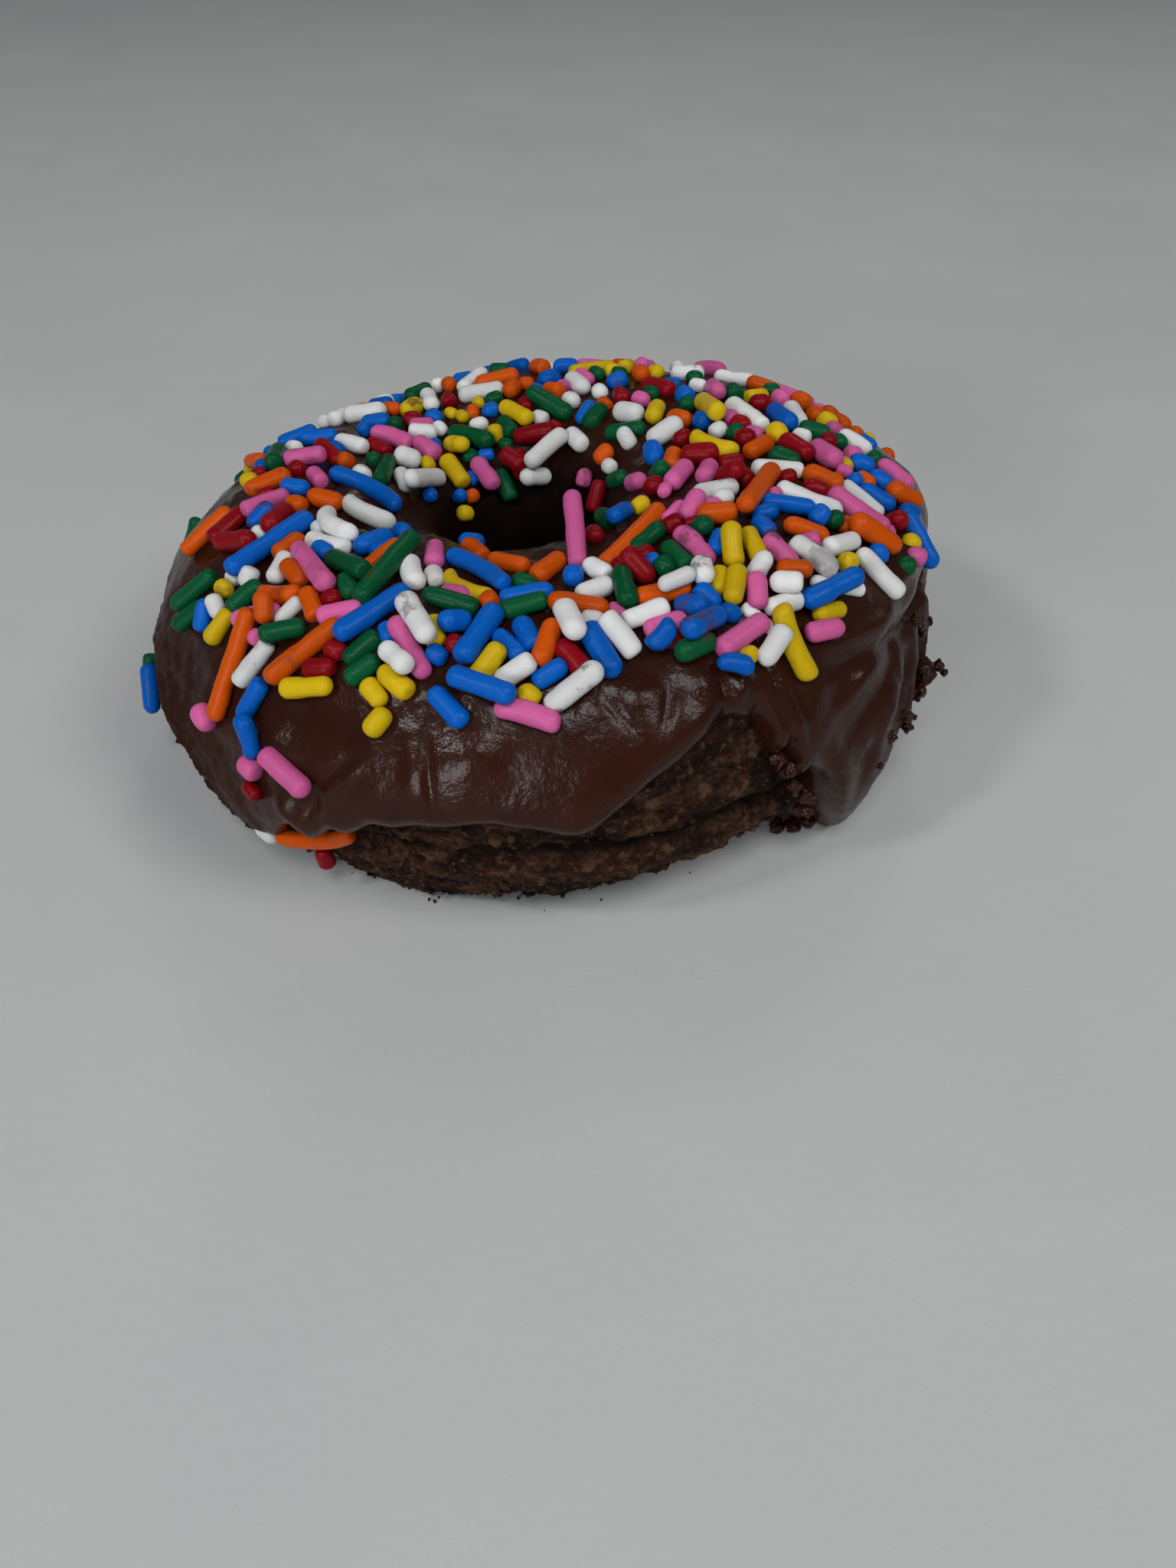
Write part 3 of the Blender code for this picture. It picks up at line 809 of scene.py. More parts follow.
    ("O", 1, 11.2, 24.6, 11.9, 21.2, 0, 1.1),
    ("P", 0, 11.6, 29.5, 12.2, 26.8),
    ("Y", 1, 12.0, 7.0, 13.4, 12.4, 0, 1.1),
    ("G", 0, 7.0, 9.0, 11.6, 6.6),
    ("W", 0, 8.8, 8.8, 10.0, 3.4, 0, 1.05),
    ("O", 0, 6.0, 6.0, 7.8, 6.6, 0, 1.1),
    ("W", 0, 7.2, 4.6, 7.8, 3.0, 0, 0.95),
    ("B", 1, 12.0, 2.9, 12.2, -2.9, 0, 1.15),
    ("P", 0, 9.0, -2.8, 11.2, -6.6, 0, 1.1),
    # right
    ("P", 1, 12.9, -11.6, 15.6, -4.4, 0, 1.1),
    ("P", 0, 12.3, -13.2, 13.0, -10.2, 0, 0.8),
    ("P", 1, 16.3, -10.9, 17.9, -5.0, 0, 1.12),
    ("R", 1, 17.8, -10.7, 20.9, -7.0, 0, 1.15),
    ("R", 0, 19.6, -11.9, 21.7, -7.8, 0, 1.1),
    ("R", 0, 18.4, -5.9, 21.1, -5.2),
    ("W", 0, 15.2, -13.6, 20.0, -11.2),
    ("W", 0, 21.6, -7.0, 26.9, -7.6),
    ("R", 0, 24.2, -9.2, 25.9, -8.6, 0, 0.95),
    ("G", 0, 23.9, -3.6, 26.8, -5.8, 0, 1.1),
    ("O", 1, 26.8, -7.2, 30.8, -8.8, -0.3, 1.18),
    ("R", 0, 26.4, -10.2, 29.1, -11.0, 0, 1.05),
    ("P", 1, 29.0, -10.4, 34.7, -13.7, 0, 1.2),
    ("P", 0, 34.0, -13.4, 35.3, -14.6, 0, 0.95),
    ("W", 0, 30.7, -8.1, 34.6, -11.4, 0, 0.95),
    ("B", 0, 32.7, -7.5, 36.3, -9.2),
    ("B", 0, 31.9, -7.4, 32.7, -6.2, 0, 0.9),
    ("O", 0, 32.6, -5.6, 34.4, -6.9),
    ("B", 1, 32.1, -3.4, 35.3, -2.7, 0, 1.2),
    ("G", 0, 34.9, -2.0, 36.0, 0.4),
    ("B", 0, 34.1, -4.6, 36.6, -5.8, 0, 1.1),
    ("P", 0, 35.9, -1.1, 39.0, -4.7, 0, 1.1),
    ("O", 0, 35.9, -5.9, 40.0, -6.2, 0, 1.15),
    ("B", 0, 36.5, -9.5, 39.2, -8.1),
    ("B", 1, 37.0, -9.2, 40.6, -12.0, 0, 1.1),
    ("R", 1, 35.2, -12.0, 37.2, -10.2, 0, 1.15),
    ("O", 0, 28.4, 12.8, 30.3, 10.6, 0, 1.2),
    ("O", 0, 29.6, 7.4, 30.9, 5.6, 0, 1.15),
    ("Y", 1, 30.6, 6.0, 31.8, 4.0, 0, 1.15),
    ("P", 0, 26.0, 12.4, 27.8, 10.2, 0, 1.1),
    ("G", 0, 25.4, 14.8, 27.2, 14.0),
    ("Y", 0, 22.6, 10.8, 25.6, 12.4, 0.4),
    ("R", 1, 23.3, 8.6, 25.1, 9.2, 0, 1.15),
    ("O", 1, 23.8, 18.2, 27.4, 15.2),
    ("B", 1, 25.0, 7.9, 27.4, 2.0, 0, 1.1),
    ("W", 0, 27.4, 9.4, 28.0, 1.6, 0, 1.1),
    ("G", 0, 27.6, 2.1, 30.8, 1.1, 0, 1.15),
    ("Y", 1, 24.9, 2.2, 25.5, -1.0, 0, 1.25),
    ("R", 0, 25.3, -0.6, 28.5, -3.8, 0, 1.2),
    ("W", 0, 27.0, 0.6, 28.4, -0.4),
    ("P", 1, 28.5, -1.2, 31.3, -4.4, 0, 1.2),
    ("R", 0, 30.2, 0.9, 31.0, -0.8),
    ("G", 0, 31.6, 1.7, 31.9, -0.9),
    ("P", 0, 31.2, 4.2, 32.4, 3.2, 0, 0.9),
    ("W", 0, 32.1, 2.8, 35.4, 0.3, 0, 1.1),
    ("O", 0, 34.0, 4.9, 34.7, 2.9),
    ("B", 0, 34.5, 3.4, 35.9, 1.0),
    ("P", 0, 32.0, -1.7, 34.2, -1.1),
    ("Y", 0, 31.3, -3.7, 32.1, -4.7, 0, 0.95),
    ("P", 0, 30.7, -5.4, 32.2, -5.7, 0, 0.8),
    ("O", 1, 21.2, -4.1, 24.7, -0.7, 0, 1.05),
    ("R", 0, 20.5, 2.3, 22.5, 2.7, 0, 1.1),
    ("R", 0, 20.7, -0.9, 22.6, 0.0, 0, 1.15),
    ("G", 0, 20.1, 0.4, 21.5, 1.8, 0, 0.9),
    ("P", 0, 21.8, 0.8, 23.4, -0.1, 0, 0.95),
    ("W", 1, 20.5, 9.4, 24.0, 0.9, 0, 1.15),
    ("P", 0, 19.7, 2.4, 21.5, 6.8, 0, 1.1),
    ("Y", 1, 17.5, 11.7, 19.5, 3.8, 0, 1.15),
    ("P", 1, 19.1, 16.6, 20.4, 11.0, 0, 1.1),
    ("G", 0, 21.0, 14.4, 22.3, 10.6, 0, 1.2),
    ("B", 0, 16.6, 5.6, 18.8, 3.8, 0, 1.15),
    ("B", 0, 15.4, 14.6, 16.9, 11.0, 0, 1.15),
    ("G", 0, 15.7, 10.7, 17.1, 9.0),
    ("O", 0, 13.8, 7.9, 16.5, 4.2, 0, 1.15),
    ("W", 1, 11.6, 2.9, 15.4, 5.4, 0, 1.25),
    ("R", 0, 14.2, 0.4, 16.2, 1.9),
    ("Y", 1, 16.1, 1.5, 20.8, -3.4, 0.7, 1.1),
    ("R", 1, 14.9, -2.2, 18.8, -3.1, 0, 1.25),
    ("O", 0, 13.3, -6.2, 14.5, -0.4, 0, 1.05),
    ("G", 0, 12.1, -6.8, 13.1, -3.2, 0, 1.05),
    ("R", 0, 11.0, -11.2, 12.4, -8.2, 0, 1.05),
    ("W", 0, 18.4, 0.8, 19.6, 2.4),
    ("W", 0, 17.0, 16.2, 18.8, 14.8),
    ("B", 0, 14.2, 17.2, 16.0, 16.4, 0, 0.9),
    ("Y", 0, 12.4, 23.0, 14.2, 22.0),
    ("W", 0, 15.0, 21.2, 19.0, 20.0, 0, 1.1),
    ("G", 0, 16.8, 19.2, 18.6, 18.2),
)
# Sprinkles on the side: colour, layer, then its two tips as bearing, angle and bearing, angle, bow, girth
WALL = (
    ("O", 1, 225.6, 57, 226.0, 21, 0, 1.0),
    ("P", 0, 221.8, 22, 225.8, 18, 0, 1.25),
    ("W", 0, 231.6, 52, 229.2, 35.5, 0, 0.95),
    ("B", 0, 233.6, 41, 231.6, 27, 0, 1.0),
    ("B", 1, 231.2, 28.5, 234.8, 17.5, -0.3, 1.0),
    ("P", 0, 232.4, 16, 236.2, 13.5, 0, 1.15),
    ("P", 1, 236.3, 21.5, 244.4, 15, 0, 1.15),
    ("R", 0, 233.2, 9, 236.4, 6.5, 0, 0.85),
    ("R", 0, 17, 137, 3, 145),
    ("G", 0, 5, 136, 352, 128),
    ("G", 0, 302, 119, 296, 105),
    ("B", 1, 298, 110, 307, 109),
    ("Y", 0, 307.5, 107, 309.5, 107, 0, 0.9),
    ("R", 0, 292, 110, 290, 100),
    ("P", 0, 41, 137, 36, 142),
    ("Y", 0, 168, 144, 150, 148),
    ("O", 0, 145, 143, 140, 143, 0, 0.9),
    ("B", 0, 154, 141, 149, 141, 0, 0.9),
    ("B", 0, 175, 134, 170, 134, 0, 0.9),
    ("B", 0, 247, 116, 257, 116),
)
# Sprinkles that stand or hang free: colour, then its two tips as x, y, z and x, y, z, bow and girth
FREE = (
    ("P", 4.2, -22.6, 32.0, 3.6, -15.5, 36.6, 0, 0.98),
    ("O", 6.4, -23.0, 32.4, 12.4, -14.0, 34.3, 0.2, 1.0),
    ("B", -43.2, -10.6, 13.6, -43.4, -13.0, 8.4, 0, 1.1),
    ("G", -43.4, -9.0, 13.8, -43.7, -10.2, 11.0, 0, 1.0),
    ("O", -26.1, -31.7, 7.0, -17.0, -35.8, 11.0, 0.9, 1.0),
    ("W", -28.2, -30.0, 7.2, -26.0, -31.9, 6.4, 0, 1.0),
    ("R", -21.4, -33.2, 7.0, -21.0, -32.6, 3.4, 0, 1.0),
)
SPRINKLE_LIMIT = (
    (0, 40),
    (40, 32),
    (90, 26),
    (140, 27),
    (180, 38),
    (205, 38),
    (225, 18),
    (240, 34),
    (262, 50),
    (340, 48),
)
# How many sprinkles are added where the photo doesn't show them, and how far apart
UNSEEN = ((0, 230, 2.1), (0, 110, 1.85), (1, 90, 2.6))
GAPS = (14, 1.8)
SETTLING = 150
HOLD = 0.45  # how strongly a sprinkle is kept on its line of sight
TRIES = 4000


def to_ring(points):
    return np.asarray(points, float) + PART_MIDDLE


def section_of(points):
    """Bearing, angle and distance from the section's middle of points in the ring's frame."""
    radius = np.hypot(points[..., 0], points[..., 1])
    bearing = np.degrees(np.arctan2(points[..., 1], points[..., 0])) % 360
    across, up = radius - RING_RADIUS, points[..., 2] - MIDDLE_HEIGHT
    angle = np.degrees(np.arctan2(up, across))
    return bearing, np.where(angle < -90, angle + 360, angle), np.hypot(across, up)


def outward(points):
    """Unit vectors from the section's middle line through the points."""
    radius = np.maximum(np.hypot(points[..., 0], points[..., 1]), 1e-6)
    across, up = radius - RING_RADIUS, points[..., 2] - MIDDLE_HEIGHT
    vector = np.stack([across * points[..., 0] / radius, across * points[..., 1] / radius, up], -1)
    return vector / np.linalg.norm(vector, axis=-1, keepdims=True)


def coat_place(bearing, angle, lift):
    return place(bearing, angle, coat_reach(bearing, angle) + lift)


def on_crown(x, y, lift):
    """The point over this place of the part's frame, this far above the coat."""
    spot = to_ring([x, y, 0])
    bearing = np.array([math.degrees(math.atan2(spot[1], spot[0])) % 360])
    radius = math.hypot(spot[0], spot[1])
    low, high = np.array([4.0]), np.array([168.0])
    for _ in range(30):
        middle = (low + high) / 2
        point = coat_place(bearing, middle, lift)
        outside = np.hypot(point[..., 0], point[..., 1]) > radius
        low = np.where(outside, middle, low)
        high = np.where(outside, high, middle)
    return coat_place(bearing, (low + high) / 2, lift)[0]


def on_wall(bearing, angle, lift):
    return coat_place(np.array([float(bearing)]), np.array([float(angle)]), lift)[0]


def sideways(point, along):
    """How much of a rod's length shows from the camera: 1 for a rod square to the line of sight."""
    sight = point - to_ring(EYE)
    end_on = (sight / np.linalg.norm(sight)) @ along
    return max(math.sqrt(1 - min(end_on**2, 1)), 0.5)


class Heap:
    """The sprinkles as rods, each from one axis end to the other."""

    def __init__(self):
        self.rows = []

    def add(self, colour, start, end, layer, bow=0.0, girth=1.0, seen=True, free=False):
        radius = SPRINKLE_RADIUS * girth
        length = np.linalg.norm(end - start)
        middle = (start + end) / 2
        along = (end - start) / max(length, 1e-6)
        half = max(length / 2 - radius / (sideways(middle, along) if seen else 1), 0.15)
        row = (colour, middle - half * along, middle + half * along, layer, bow, radius, seen, free)
        self.rows.append(row)

    def arrays(self):
        colour, start, end, layer, bow, radius, seen, free = zip(*self.rows)
        return (
            np.array(start),
            np.array(end),
            np.array(layer),
            np.array(radius),
            np.array(seen),
            np.array(free),
        )


def seen_heap():
    heap = Heap()
    for colour, layer, x0, y0, x1, y1, *rest in CROWN:
        heap.add(colour, on_crown(x0, y0, SEEN_LIFT), on_crown(x1, y1, SEEN_LIFT), layer, *rest)
    for colour, layer, b0, a0, b1, a1, *rest in WALL:
        heap.add(colour, on_wall(b0, a0, SEEN_LIFT), on_wall(b1, a1, SEEN_LIFT), layer, *rest)
    for colour, x0, y0, z0, x1, y1, z1, *rest in FREE:
        heap.add(colour, to_ring([x0, y0, z0]), to_ring([x1, y1, z1]), 2, *rest, free=True)
    return heap


def hidden_from_view(point):
    """1 where the coat turns away from the camera, falling to 0 where it faces it."""
    sight = to_ring(EYE) - point
    facing = (outward(point) * sight).sum(-1) / np.linalg.norm(sight, axis=-1)
    bearing = np.degrees(np.arctan2(point[..., 1], point[..., 0]))
    past_rim = -0.17 + 0.16 * bearing_bump(bearing, 75, 45)
    return np.clip((past_rim - facing) / 0.1, 0, 1)


def along_rod(start, end):
    """Five points spread evenly from one end to the other."""
    return start + np.linspace(0, 1, 5)[:, None] * (end - start)


def clearance(placed, start, end):
    """Least distance from a new rod to the rods already there, both taken as rows of points."""
    gaps = placed[:, None] - along_rod(start, end)[None]
    return math.sqrt((gaps**2).sum(-1).min())


def random_rod(random, bearing, angle, lift):
    length = random.choice([3.2, 4.2, 5.0, 5.8, 6.6, 7.6], p=[0.12, 0.22, 0.24, 0.2, 0.14, 0.08])
    heading = random.uniform(0, math.tau)
    middle = on_wall(bearing, angle, lift)
    ahead = on_wall(bearing + 1, angle, lift) - middle
    up = on_wall(bearing, angle + 1, lift) - middle
    ahead /= np.linalg.norm(ahead)
    up /= np.linalg.norm(up)
    along = math.cos(heading) * ahead + math.sin(heading) * up
    return middle - along * length / 2, middle + along * length / 2


def scatter(heap, random, count, layer, gap, wanted):
    """Adds sprinkles at random where wanted gives them a chance, none closer than gap to another."""
    codes, shares = "WYORPBG", (0.19, 0.12, 0.14, 0.10, 0.14, 0.18, 0.13)
    left = count
    placed = np.concatenate([along_rod(row[1], row[2]) for row in heap.rows])
    spots = random.uniform((0, 15), (360, 160), (TRIES, 2))
    points = coat_place(spots[:, 0], spots[:, 1], 1.0)
    chance = wanted(spots[:, 0], spots[:, 1], points) * np.hypot(points[:, 0], points[:, 1]) / 42
    for bearing, angle in spots[random.uniform(size=TRIES) < chance]:
        start, end = random_rod(random, bearing, angle, 1.0 + LAYER_LIFT * layer)
        if clearance(placed, start, end) < gap:
            continue
        placed = np.concatenate([placed, along_rod(start, end)])
        girth = random.uniform(0.95, 1.15)
        bow = random.choice([0, 0, 0, 0.3, -0.3, 0.6])
        heap.add(random.choice(list(codes), p=shares), start, end, layer, bow, girth, seen=False)
        left -= 1
        if not left:
            break


def limit_chance(bearing, angle):
    limit = around(SPRINKLE_LIMIT, bearing)
    return np.clip((angle - limit) / 10 + 0.3, 0.04, 1) * np.clip((150 - angle) / 16, 0, 1)


def fill_unseen(heap, random):
    def unseen(bearing, angle, point):
        return hidden_from_view(point) * limit_chance(bearing, angle) * (angle < 98)

    def between(bearing, angle, point):
        return (1 - hidden_from_view(point)) * (limit_chance(bearing, angle) > 0.6) * (angle > 62) * (angle < 105)

    for layer, count, gap in UNSEEN:
        scatter(heap, random, count, layer, gap, unseen)
    scatter(heap, random, GAPS[0], 0, GAPS[1], between)


def closest(p0, p1, q0, q1):
    """Where rods p and q come nearest, as shares of their lengths."""
    d, e, r = p1 - p0, q1 - q0, p0 - q0
    a, b, c = (d * d).sum(-1), (d * e).sum(-1), (e * e).sum(-1)
    f, g = (d * r).sum(-1), (e * r).sum(-1)
    bottom = np.maximum(a * c - b * b, 1e-9)
    s = np.clip((b * g - c * f) / bottom, 0, 1)
    t = np.clip((b * s + g) / np.maximum(c, 1e-9), 0, 1)
    s = np.clip((b * t - f) / np.maximum(a, 1e-9), 0, 1)
    return s, t


def share_out(total, hits, index, share, push):
    """Adds a push at a share of a rod's length to its two ends."""
    ends = (1 - share, share)
    scale = 1 / (ends[0] ** 2 + ends[1] ** 2)
    for side in (0, 1):
        np.add.at(total[side], index, push * (ends[side] * scale)[:, None])
    np.add.at(hits, index, 1)


def settle(heap):
    """Lets the rods settle on the coat and each other, each staying on the line it is seen along."""
    start, end, layer, radius, seen, free = heap.arrays()
    eye = to_ring(EYE)
    sight = [(p - eye) / np.linalg.norm(p - eye, axis=1, keepdims=True) for p in (start, end)]
    rods = [start.copy(), end.copy()]
    length = np.linalg.norm(end - start, axis=1)
    rods = [p + np.where(free, 0, LAYER_LIFT * layer)[:, None] * outward(p) for p in rods]
    count = len(length)
    centre = (start + end) / 2
    apart = np.linalg.norm(centre[:, None] - centre[None], axis=-1)
    near = apart < (length[:, None] + length[None]) / 2 + 2 * radius[:, None] + 2.5
    one, other = np.nonzero(np.triu(near, 1))
    moves = np.where(free, 0.0, 1.0)
    for step in range(SETTLING):
        pull = 0.06 if step < SETTLING * 0.75 else 0.0
        for side in (0, 1):
            point = rods[side]
            point -= (pull * moves)[:, None] * outward(point)
            lined = eye + ((point - eye) * sight[side]).sum(1, keepdims=True) * sight[side]
            point += (HOLD * moves * seen)[:, None] * (lined - point)
        push_apart(rods, one, other, layer, radius, moves, count)
        lift_off_coat(rods, radius, moves)
        middle = (rods[0] + rods[1]) / 2
        along = rods[1] - rods[0]
        along *= (length / np.maximum(np.linalg.norm(along, axis=1), 1e-6) / 2)[:, None]
        keep = (free | seen)[:, None]
        rods = [np.where(keep, rods[0], middle - along), np.where(keep, rods[1], middle + along)]
    return rods, radius


def push_apart(rods, one, other, layer, radius, moves, count):
    share, shared = closest(rods[0][one], rods[1][one], rods[0][other], rods[1][other])
    p = rods[0][one] + share[:, None] * (rods[1][one] - rods[0][one])
    q = rods[0][other] + shared[:, None] * (rods[1][other] - rods[0][other])
    gap = p - q
    distance = np.linalg.norm(gap, axis=1)
    least = 0.94 * (radius[one] + radius[other])
    hit = distance < least
    one, other, share, shared = one[hit], other[hit], share[hit], shared[hit]
    way = gap[hit] / np.maximum(distance[hit], 1e-6)[:, None]
    over = np.sign(layer[one] - layer[other])
    up = outward((p + q)[hit] / 2) * over[:, None]
    wrong = ((way * up).sum(1) < 0.5) & (over != 0)
    way = np.where(wrong[:, None], way + 1.2 * up, way)
    way /= np.linalg.norm(way, axis=1, keepdims=True)
    overlap = (least[hit] - distance[hit])[:, None] * way
    weight = moves[one] + moves[other]
    total, hits = [np.zeros((count, 3)), np.zeros((count, 3))], np.zeros(count)
    share_out(total, hits, one, share, overlap * (moves[one] / np.maximum(weight, 1e-6))[:, None])
    share_out(total, hits, other, shared, -overlap * (moves[other] / np.maximum(weight, 1e-6))[:, None])
    ease = (1 / np.maximum(1, 0.6 * hits))[:, None]
    for side in (0, 1):
        rods[side] += 0.8 * ease * total[side]


def lift_off_coat(rods, radius, moves):
    for share in (0.0, 0.25, 0.5, 0.75, 1.0):
        point = rods[0] + share * (rods[1] - rods[0])
        bearing, angle, distance = section_of(point)
        sunk = coat_reach(bearing, angle) + radius - PRESSED_IN - distance
        push = (np.maximum(sunk, 0) * moves)[:, None] * outward(point)
        scale = 1 / ((1 - share) ** 2 + share**2)
        rods[0] += push * (1 - share) * scale
        rods[1] += push * share * scale


SIDES = 18
CAP_RINGS = 6


def rod_mesh(start, end, radius, bow, seed, random):
    """One sprinkle as a round-ended rod, a little bent, uneven and squashed."""
    length = np.linalg.norm(end - start)
    along = (end - start) / max(length, 1e-6)
    up = outward((start + end) / 2)
    side = np.cross(along, up)
    side /= max(np.linalg.norm(side), 1e-6)
    up = np.cross(side, along)
    tip = length / 2 + radius
    fullness = random.choice([2.0, 2.3, 2.7, 3.4], 2, p=[0.35, 0.3, 0.2, 0.15])
    cap = np.sin(np.linspace(0, np.pi / 2, CAP_RINGS + 1))[:-1]
    body = max(int(length / 0.55), 1)
    inner = np.linspace(0, 1, body + 1)[:-1] * length
    spots = np.concatenate([-tip + radius * (1 - np.cos(np.linspace(0, np.pi / 2, CAP_RINGS + 1)))[:-1], inner - length / 2])
    spots = np.concatenate([spots, -(spots[:CAP_RINGS][::-1]), [length / 2]])
    spots = np.sort(spots)
    past = np.clip(np.abs(spots) - length / 2, 0, radius) / radius
    bulge = np.where(spots < 0, fullness[0], fullness[1])
    girth = radius * np.maximum(1 - past**bulge, 0) ** (1 / bulge)
    girth *= 1 + random.uniform(-0.06, 0.06) * spots / tip
    if random.uniform() < 0.22 and length > 2.2:
        waist = random.uniform(-0.25, 0.25) * length
        girth *= 1 - random.uniform(0.06, 0.16) * bump(spots, waist, 0.45)
    turn = np.linspace(0, math.tau, SIDES, endpoint=False)
    squash = random.uniform(0.92, 1.0)
    bent = bow * (1 - (spots / tip) ** 2)
    centre = (start + end) / 2 + spots[:, None] * along + bent[:, None] * side
    ring = np.cos(turn)[None, :, None] * side + squash * np.sin(turn)[None, :, None] * up
    points = centre[:, None] + girth[:, None, None] * ring
    uneven = 0.075 * noise(points, 1.5, seed) + 0.03 * noise(points, 0.7, seed + 1)
    points = points + uneven[..., None] * ring * np.minimum(girth / radius, 1)[:, None, None]
    return points


def rod_faces(rings):
    return tube_faces(rings, SIDES)


def tube_faces(rings, sides):
    near = np.arange(rings - 1)[:, None] * sides
    step = np.arange(sides)[None, :]
    ahead = (step + 1) % sides
    return np.stack([near + step, near + ahead, near + sides + ahead, near + sides + step], -1).reshape(-1, 4)


def add_sprinkles(heap, materials):
    random = np.random.default_rng(7)
    rods, radius = settle(heap)
    groups = {}
    for number, row in enumerate(heap.rows):
        points = rod_mesh(rods[0][number], rods[1][number], radius[number], row[4], 100 + number % 97, random)
        groups.setdefault(row[0], []).append((points, random.uniform(-1, 1), random.uniform(0, 1)))
    for code, members in groups.items():
        all_points, all_faces, tone, smear, offset = [], [], [], [], 0
        for points, shade, dirt in members:
            flat = points.reshape(-1, 3)
            all_points.append(flat)
            all_faces.append(rod_faces(points.shape[0]) + offset)
            tone.append(np.full(len(flat), shade))
            smear.append(np.full(len(flat), dirt))
            offset += len(flat)
        name = f"sprinkles_{COLOURS[code]}"
        piece = add_piece(name, np.concatenate(all_points), np.concatenate(all_faces), materials[code])
        set_values(piece, "tone", np.concatenate(tone))
        set_values(piece, "smear", np.concatenate(smear))


# Crumbs and lumps

# Lumps of icing: bearing, angle, how far out from the coat, half size
ICING_LUMPS = (
    (343.8, 0, 0.4, 1.7),
    (344.9, 1, 2.0, 1.0),
    (342.5, 5, 0.1, 1.2),
    (341.5, -5, 0.3, 1.1),
    (334.9, -4.6, 0.1, 1.1),
    (333.3, -4.3, 0.7, 0.7),
    (332.0, 1, -0.1, 0.7),
    (343.6, 18, -0.3, 1.1),
    (347.5, 13, 0.1, 0.8),
    (340.0, 24, -0.4, 0.9),
    (325.5, 3, -0.4, 0.8),
    (322.5, -2, -0.4, 0.7),
    (208, -6, -0.5, 1.1),
    (219, -12, -0.6, 1.0),
    (228, -22, -0.6, 1.0),
    (236.5, -24, -1.4, 1.1),
    (304.5, 18, -0.8, 0.7),
    (306.5, 12, -0.9, 0.8),
    (308, 4, -1.2, 0.8),
    (310.5, -3, -1.2, 0.9),
    (312, -12, -1.0, 1.0),
)
TABLE_LUMPS = (
    (320.5, 37.2, 1.0, 1.2),
    (322.5, 38.4, 0.8, 0.9),
    (318.5, 36.0, 0.7, 0.9),
    (324.5, 37.6, 0.7, 0.8),
)  # bearing, radius, height, half size
WALL_CRUMBS = 420
TABLE_CRUMBS = 46


def lump(centre, size, seed, rings, sides, roughness):
    """A knobbly ball, its points in rings from one pole to the other."""
    level = np.linspace(0.001, np.pi - 0.001, rings)[:, None]
    turn = np.linspace(0, math.tau, sides, endpoint=False)[None, :]
    way = np.stack([np.sin(level) * np.cos(turn), np.sin(level) * np.sin(turn), np.cos(level) + 0 * turn], -1)
    knobs = layered_noise(way + seed, ((1.1, 0.7), (0.5, 0.5), (0.25, 0.25)), seed)
    shape = 0.85 + 0.35 * np.sin(seed * np.array([1.7, 2.9, 4.3]))
    return centre + size * shape * (1 + roughness * knobs[..., None]) * way


def add_lumps(name, lumps, material):
    points = np.concatenate([grid.reshape(-1, 3) for grid in lumps])
    faces, offset = [], 0
    for grid in lumps:
        faces.append(tube_faces(*grid.shape[:2]) + offset)
        offset += grid.shape[0] * grid.shape[1]
    return add_piece(name, points, np.concatenate(faces), material)


def icing_lumps():
    spots = [(*coat_place(np.array([float(b)]), np.array([float(a)]), out), size) for b, a, out, size in ICING_LUMPS]
    for bearing, radius, height, size in TABLE_LUMPS:
        turn = math.radians(bearing)
        spots.append((np.array([radius * math.cos(turn), radius * math.sin(turn), height]), size))
    for number, (centre, size) in enumerate(spots):
        yield from cluster(centre, size, 10 * number)


def cluster(centre, size, seed):
    """A lump with three smaller ones stuck to it."""
    for part, share in enumerate((0.9, 0.62, 0.5, 0.4)):
        turn = 2.1 * part + seed
        shift = np.array([math.cos(turn), math.sin(turn), 0.8 * math.sin(2 * turn)]) * 0.55 * size * (part > 0)
        grid = lump(centre + shift, size * share, seed + part, 18, 24, 0.5)
        grid[..., 2] = np.maximum(grid[..., 2], 0.02)
        yield grid


def crumbs(random):
    """Crumbs on the bare side of the cake and a few on the table at its foot."""
    bearing = random.uniform(232, 320, WALL_CRUMBS)
    edge = angle_at_height(bearing, edge_height(bearing))
    foot = -np.degrees(np.arctan2(MIDDLE_HEIGHT, around(FOOT_RADIUS, bearing) - RING_RADIUS))
    angle = foot + (edge - foot) * random.uniform(0, 0.95, WALL_CRUMBS) ** 1.3
    size = random.choice([0.16, 0.24, 0.36, 0.5], WALL_CRUMBS, p=[0.4, 0.34, 0.2, 0.06])
    spots = place(bearing, angle, crust_reach(bearing, angle) + crumbed(bearing, angle) + 0.3 * size)
    for number, spot in enumerate(spots):
        yield lump(spot, size[number], number, 6, 8, 0.7)
    turn = np.radians(random.uniform(225, 335, TABLE_CRUMBS))
    away = around(FOOT_RADIUS, np.degrees(turn)) + random.exponential(1.2, TABLE_CRUMBS)
    size = random.choice([0.10, 0.17, 0.28], TABLE_CRUMBS, p=[0.5, 0.35, 0.15])
    for number in range(TABLE_CRUMBS):
        flat = away[number] * np.array([math.cos(turn[number]), math.sin(turn[number]), 0])
        yield lump(flat + (0, 0, 0.8 * size[number]), size[number], number, 6, 8, 0.6)


# Materials


def new_material(name):
    material = bpy.data.materials.new(name)
    material.use_nodes = True
    nodes = material.node_tree.nodes
    return material, nodes, material.node_tree.links, nodes["Principled BSDF"]


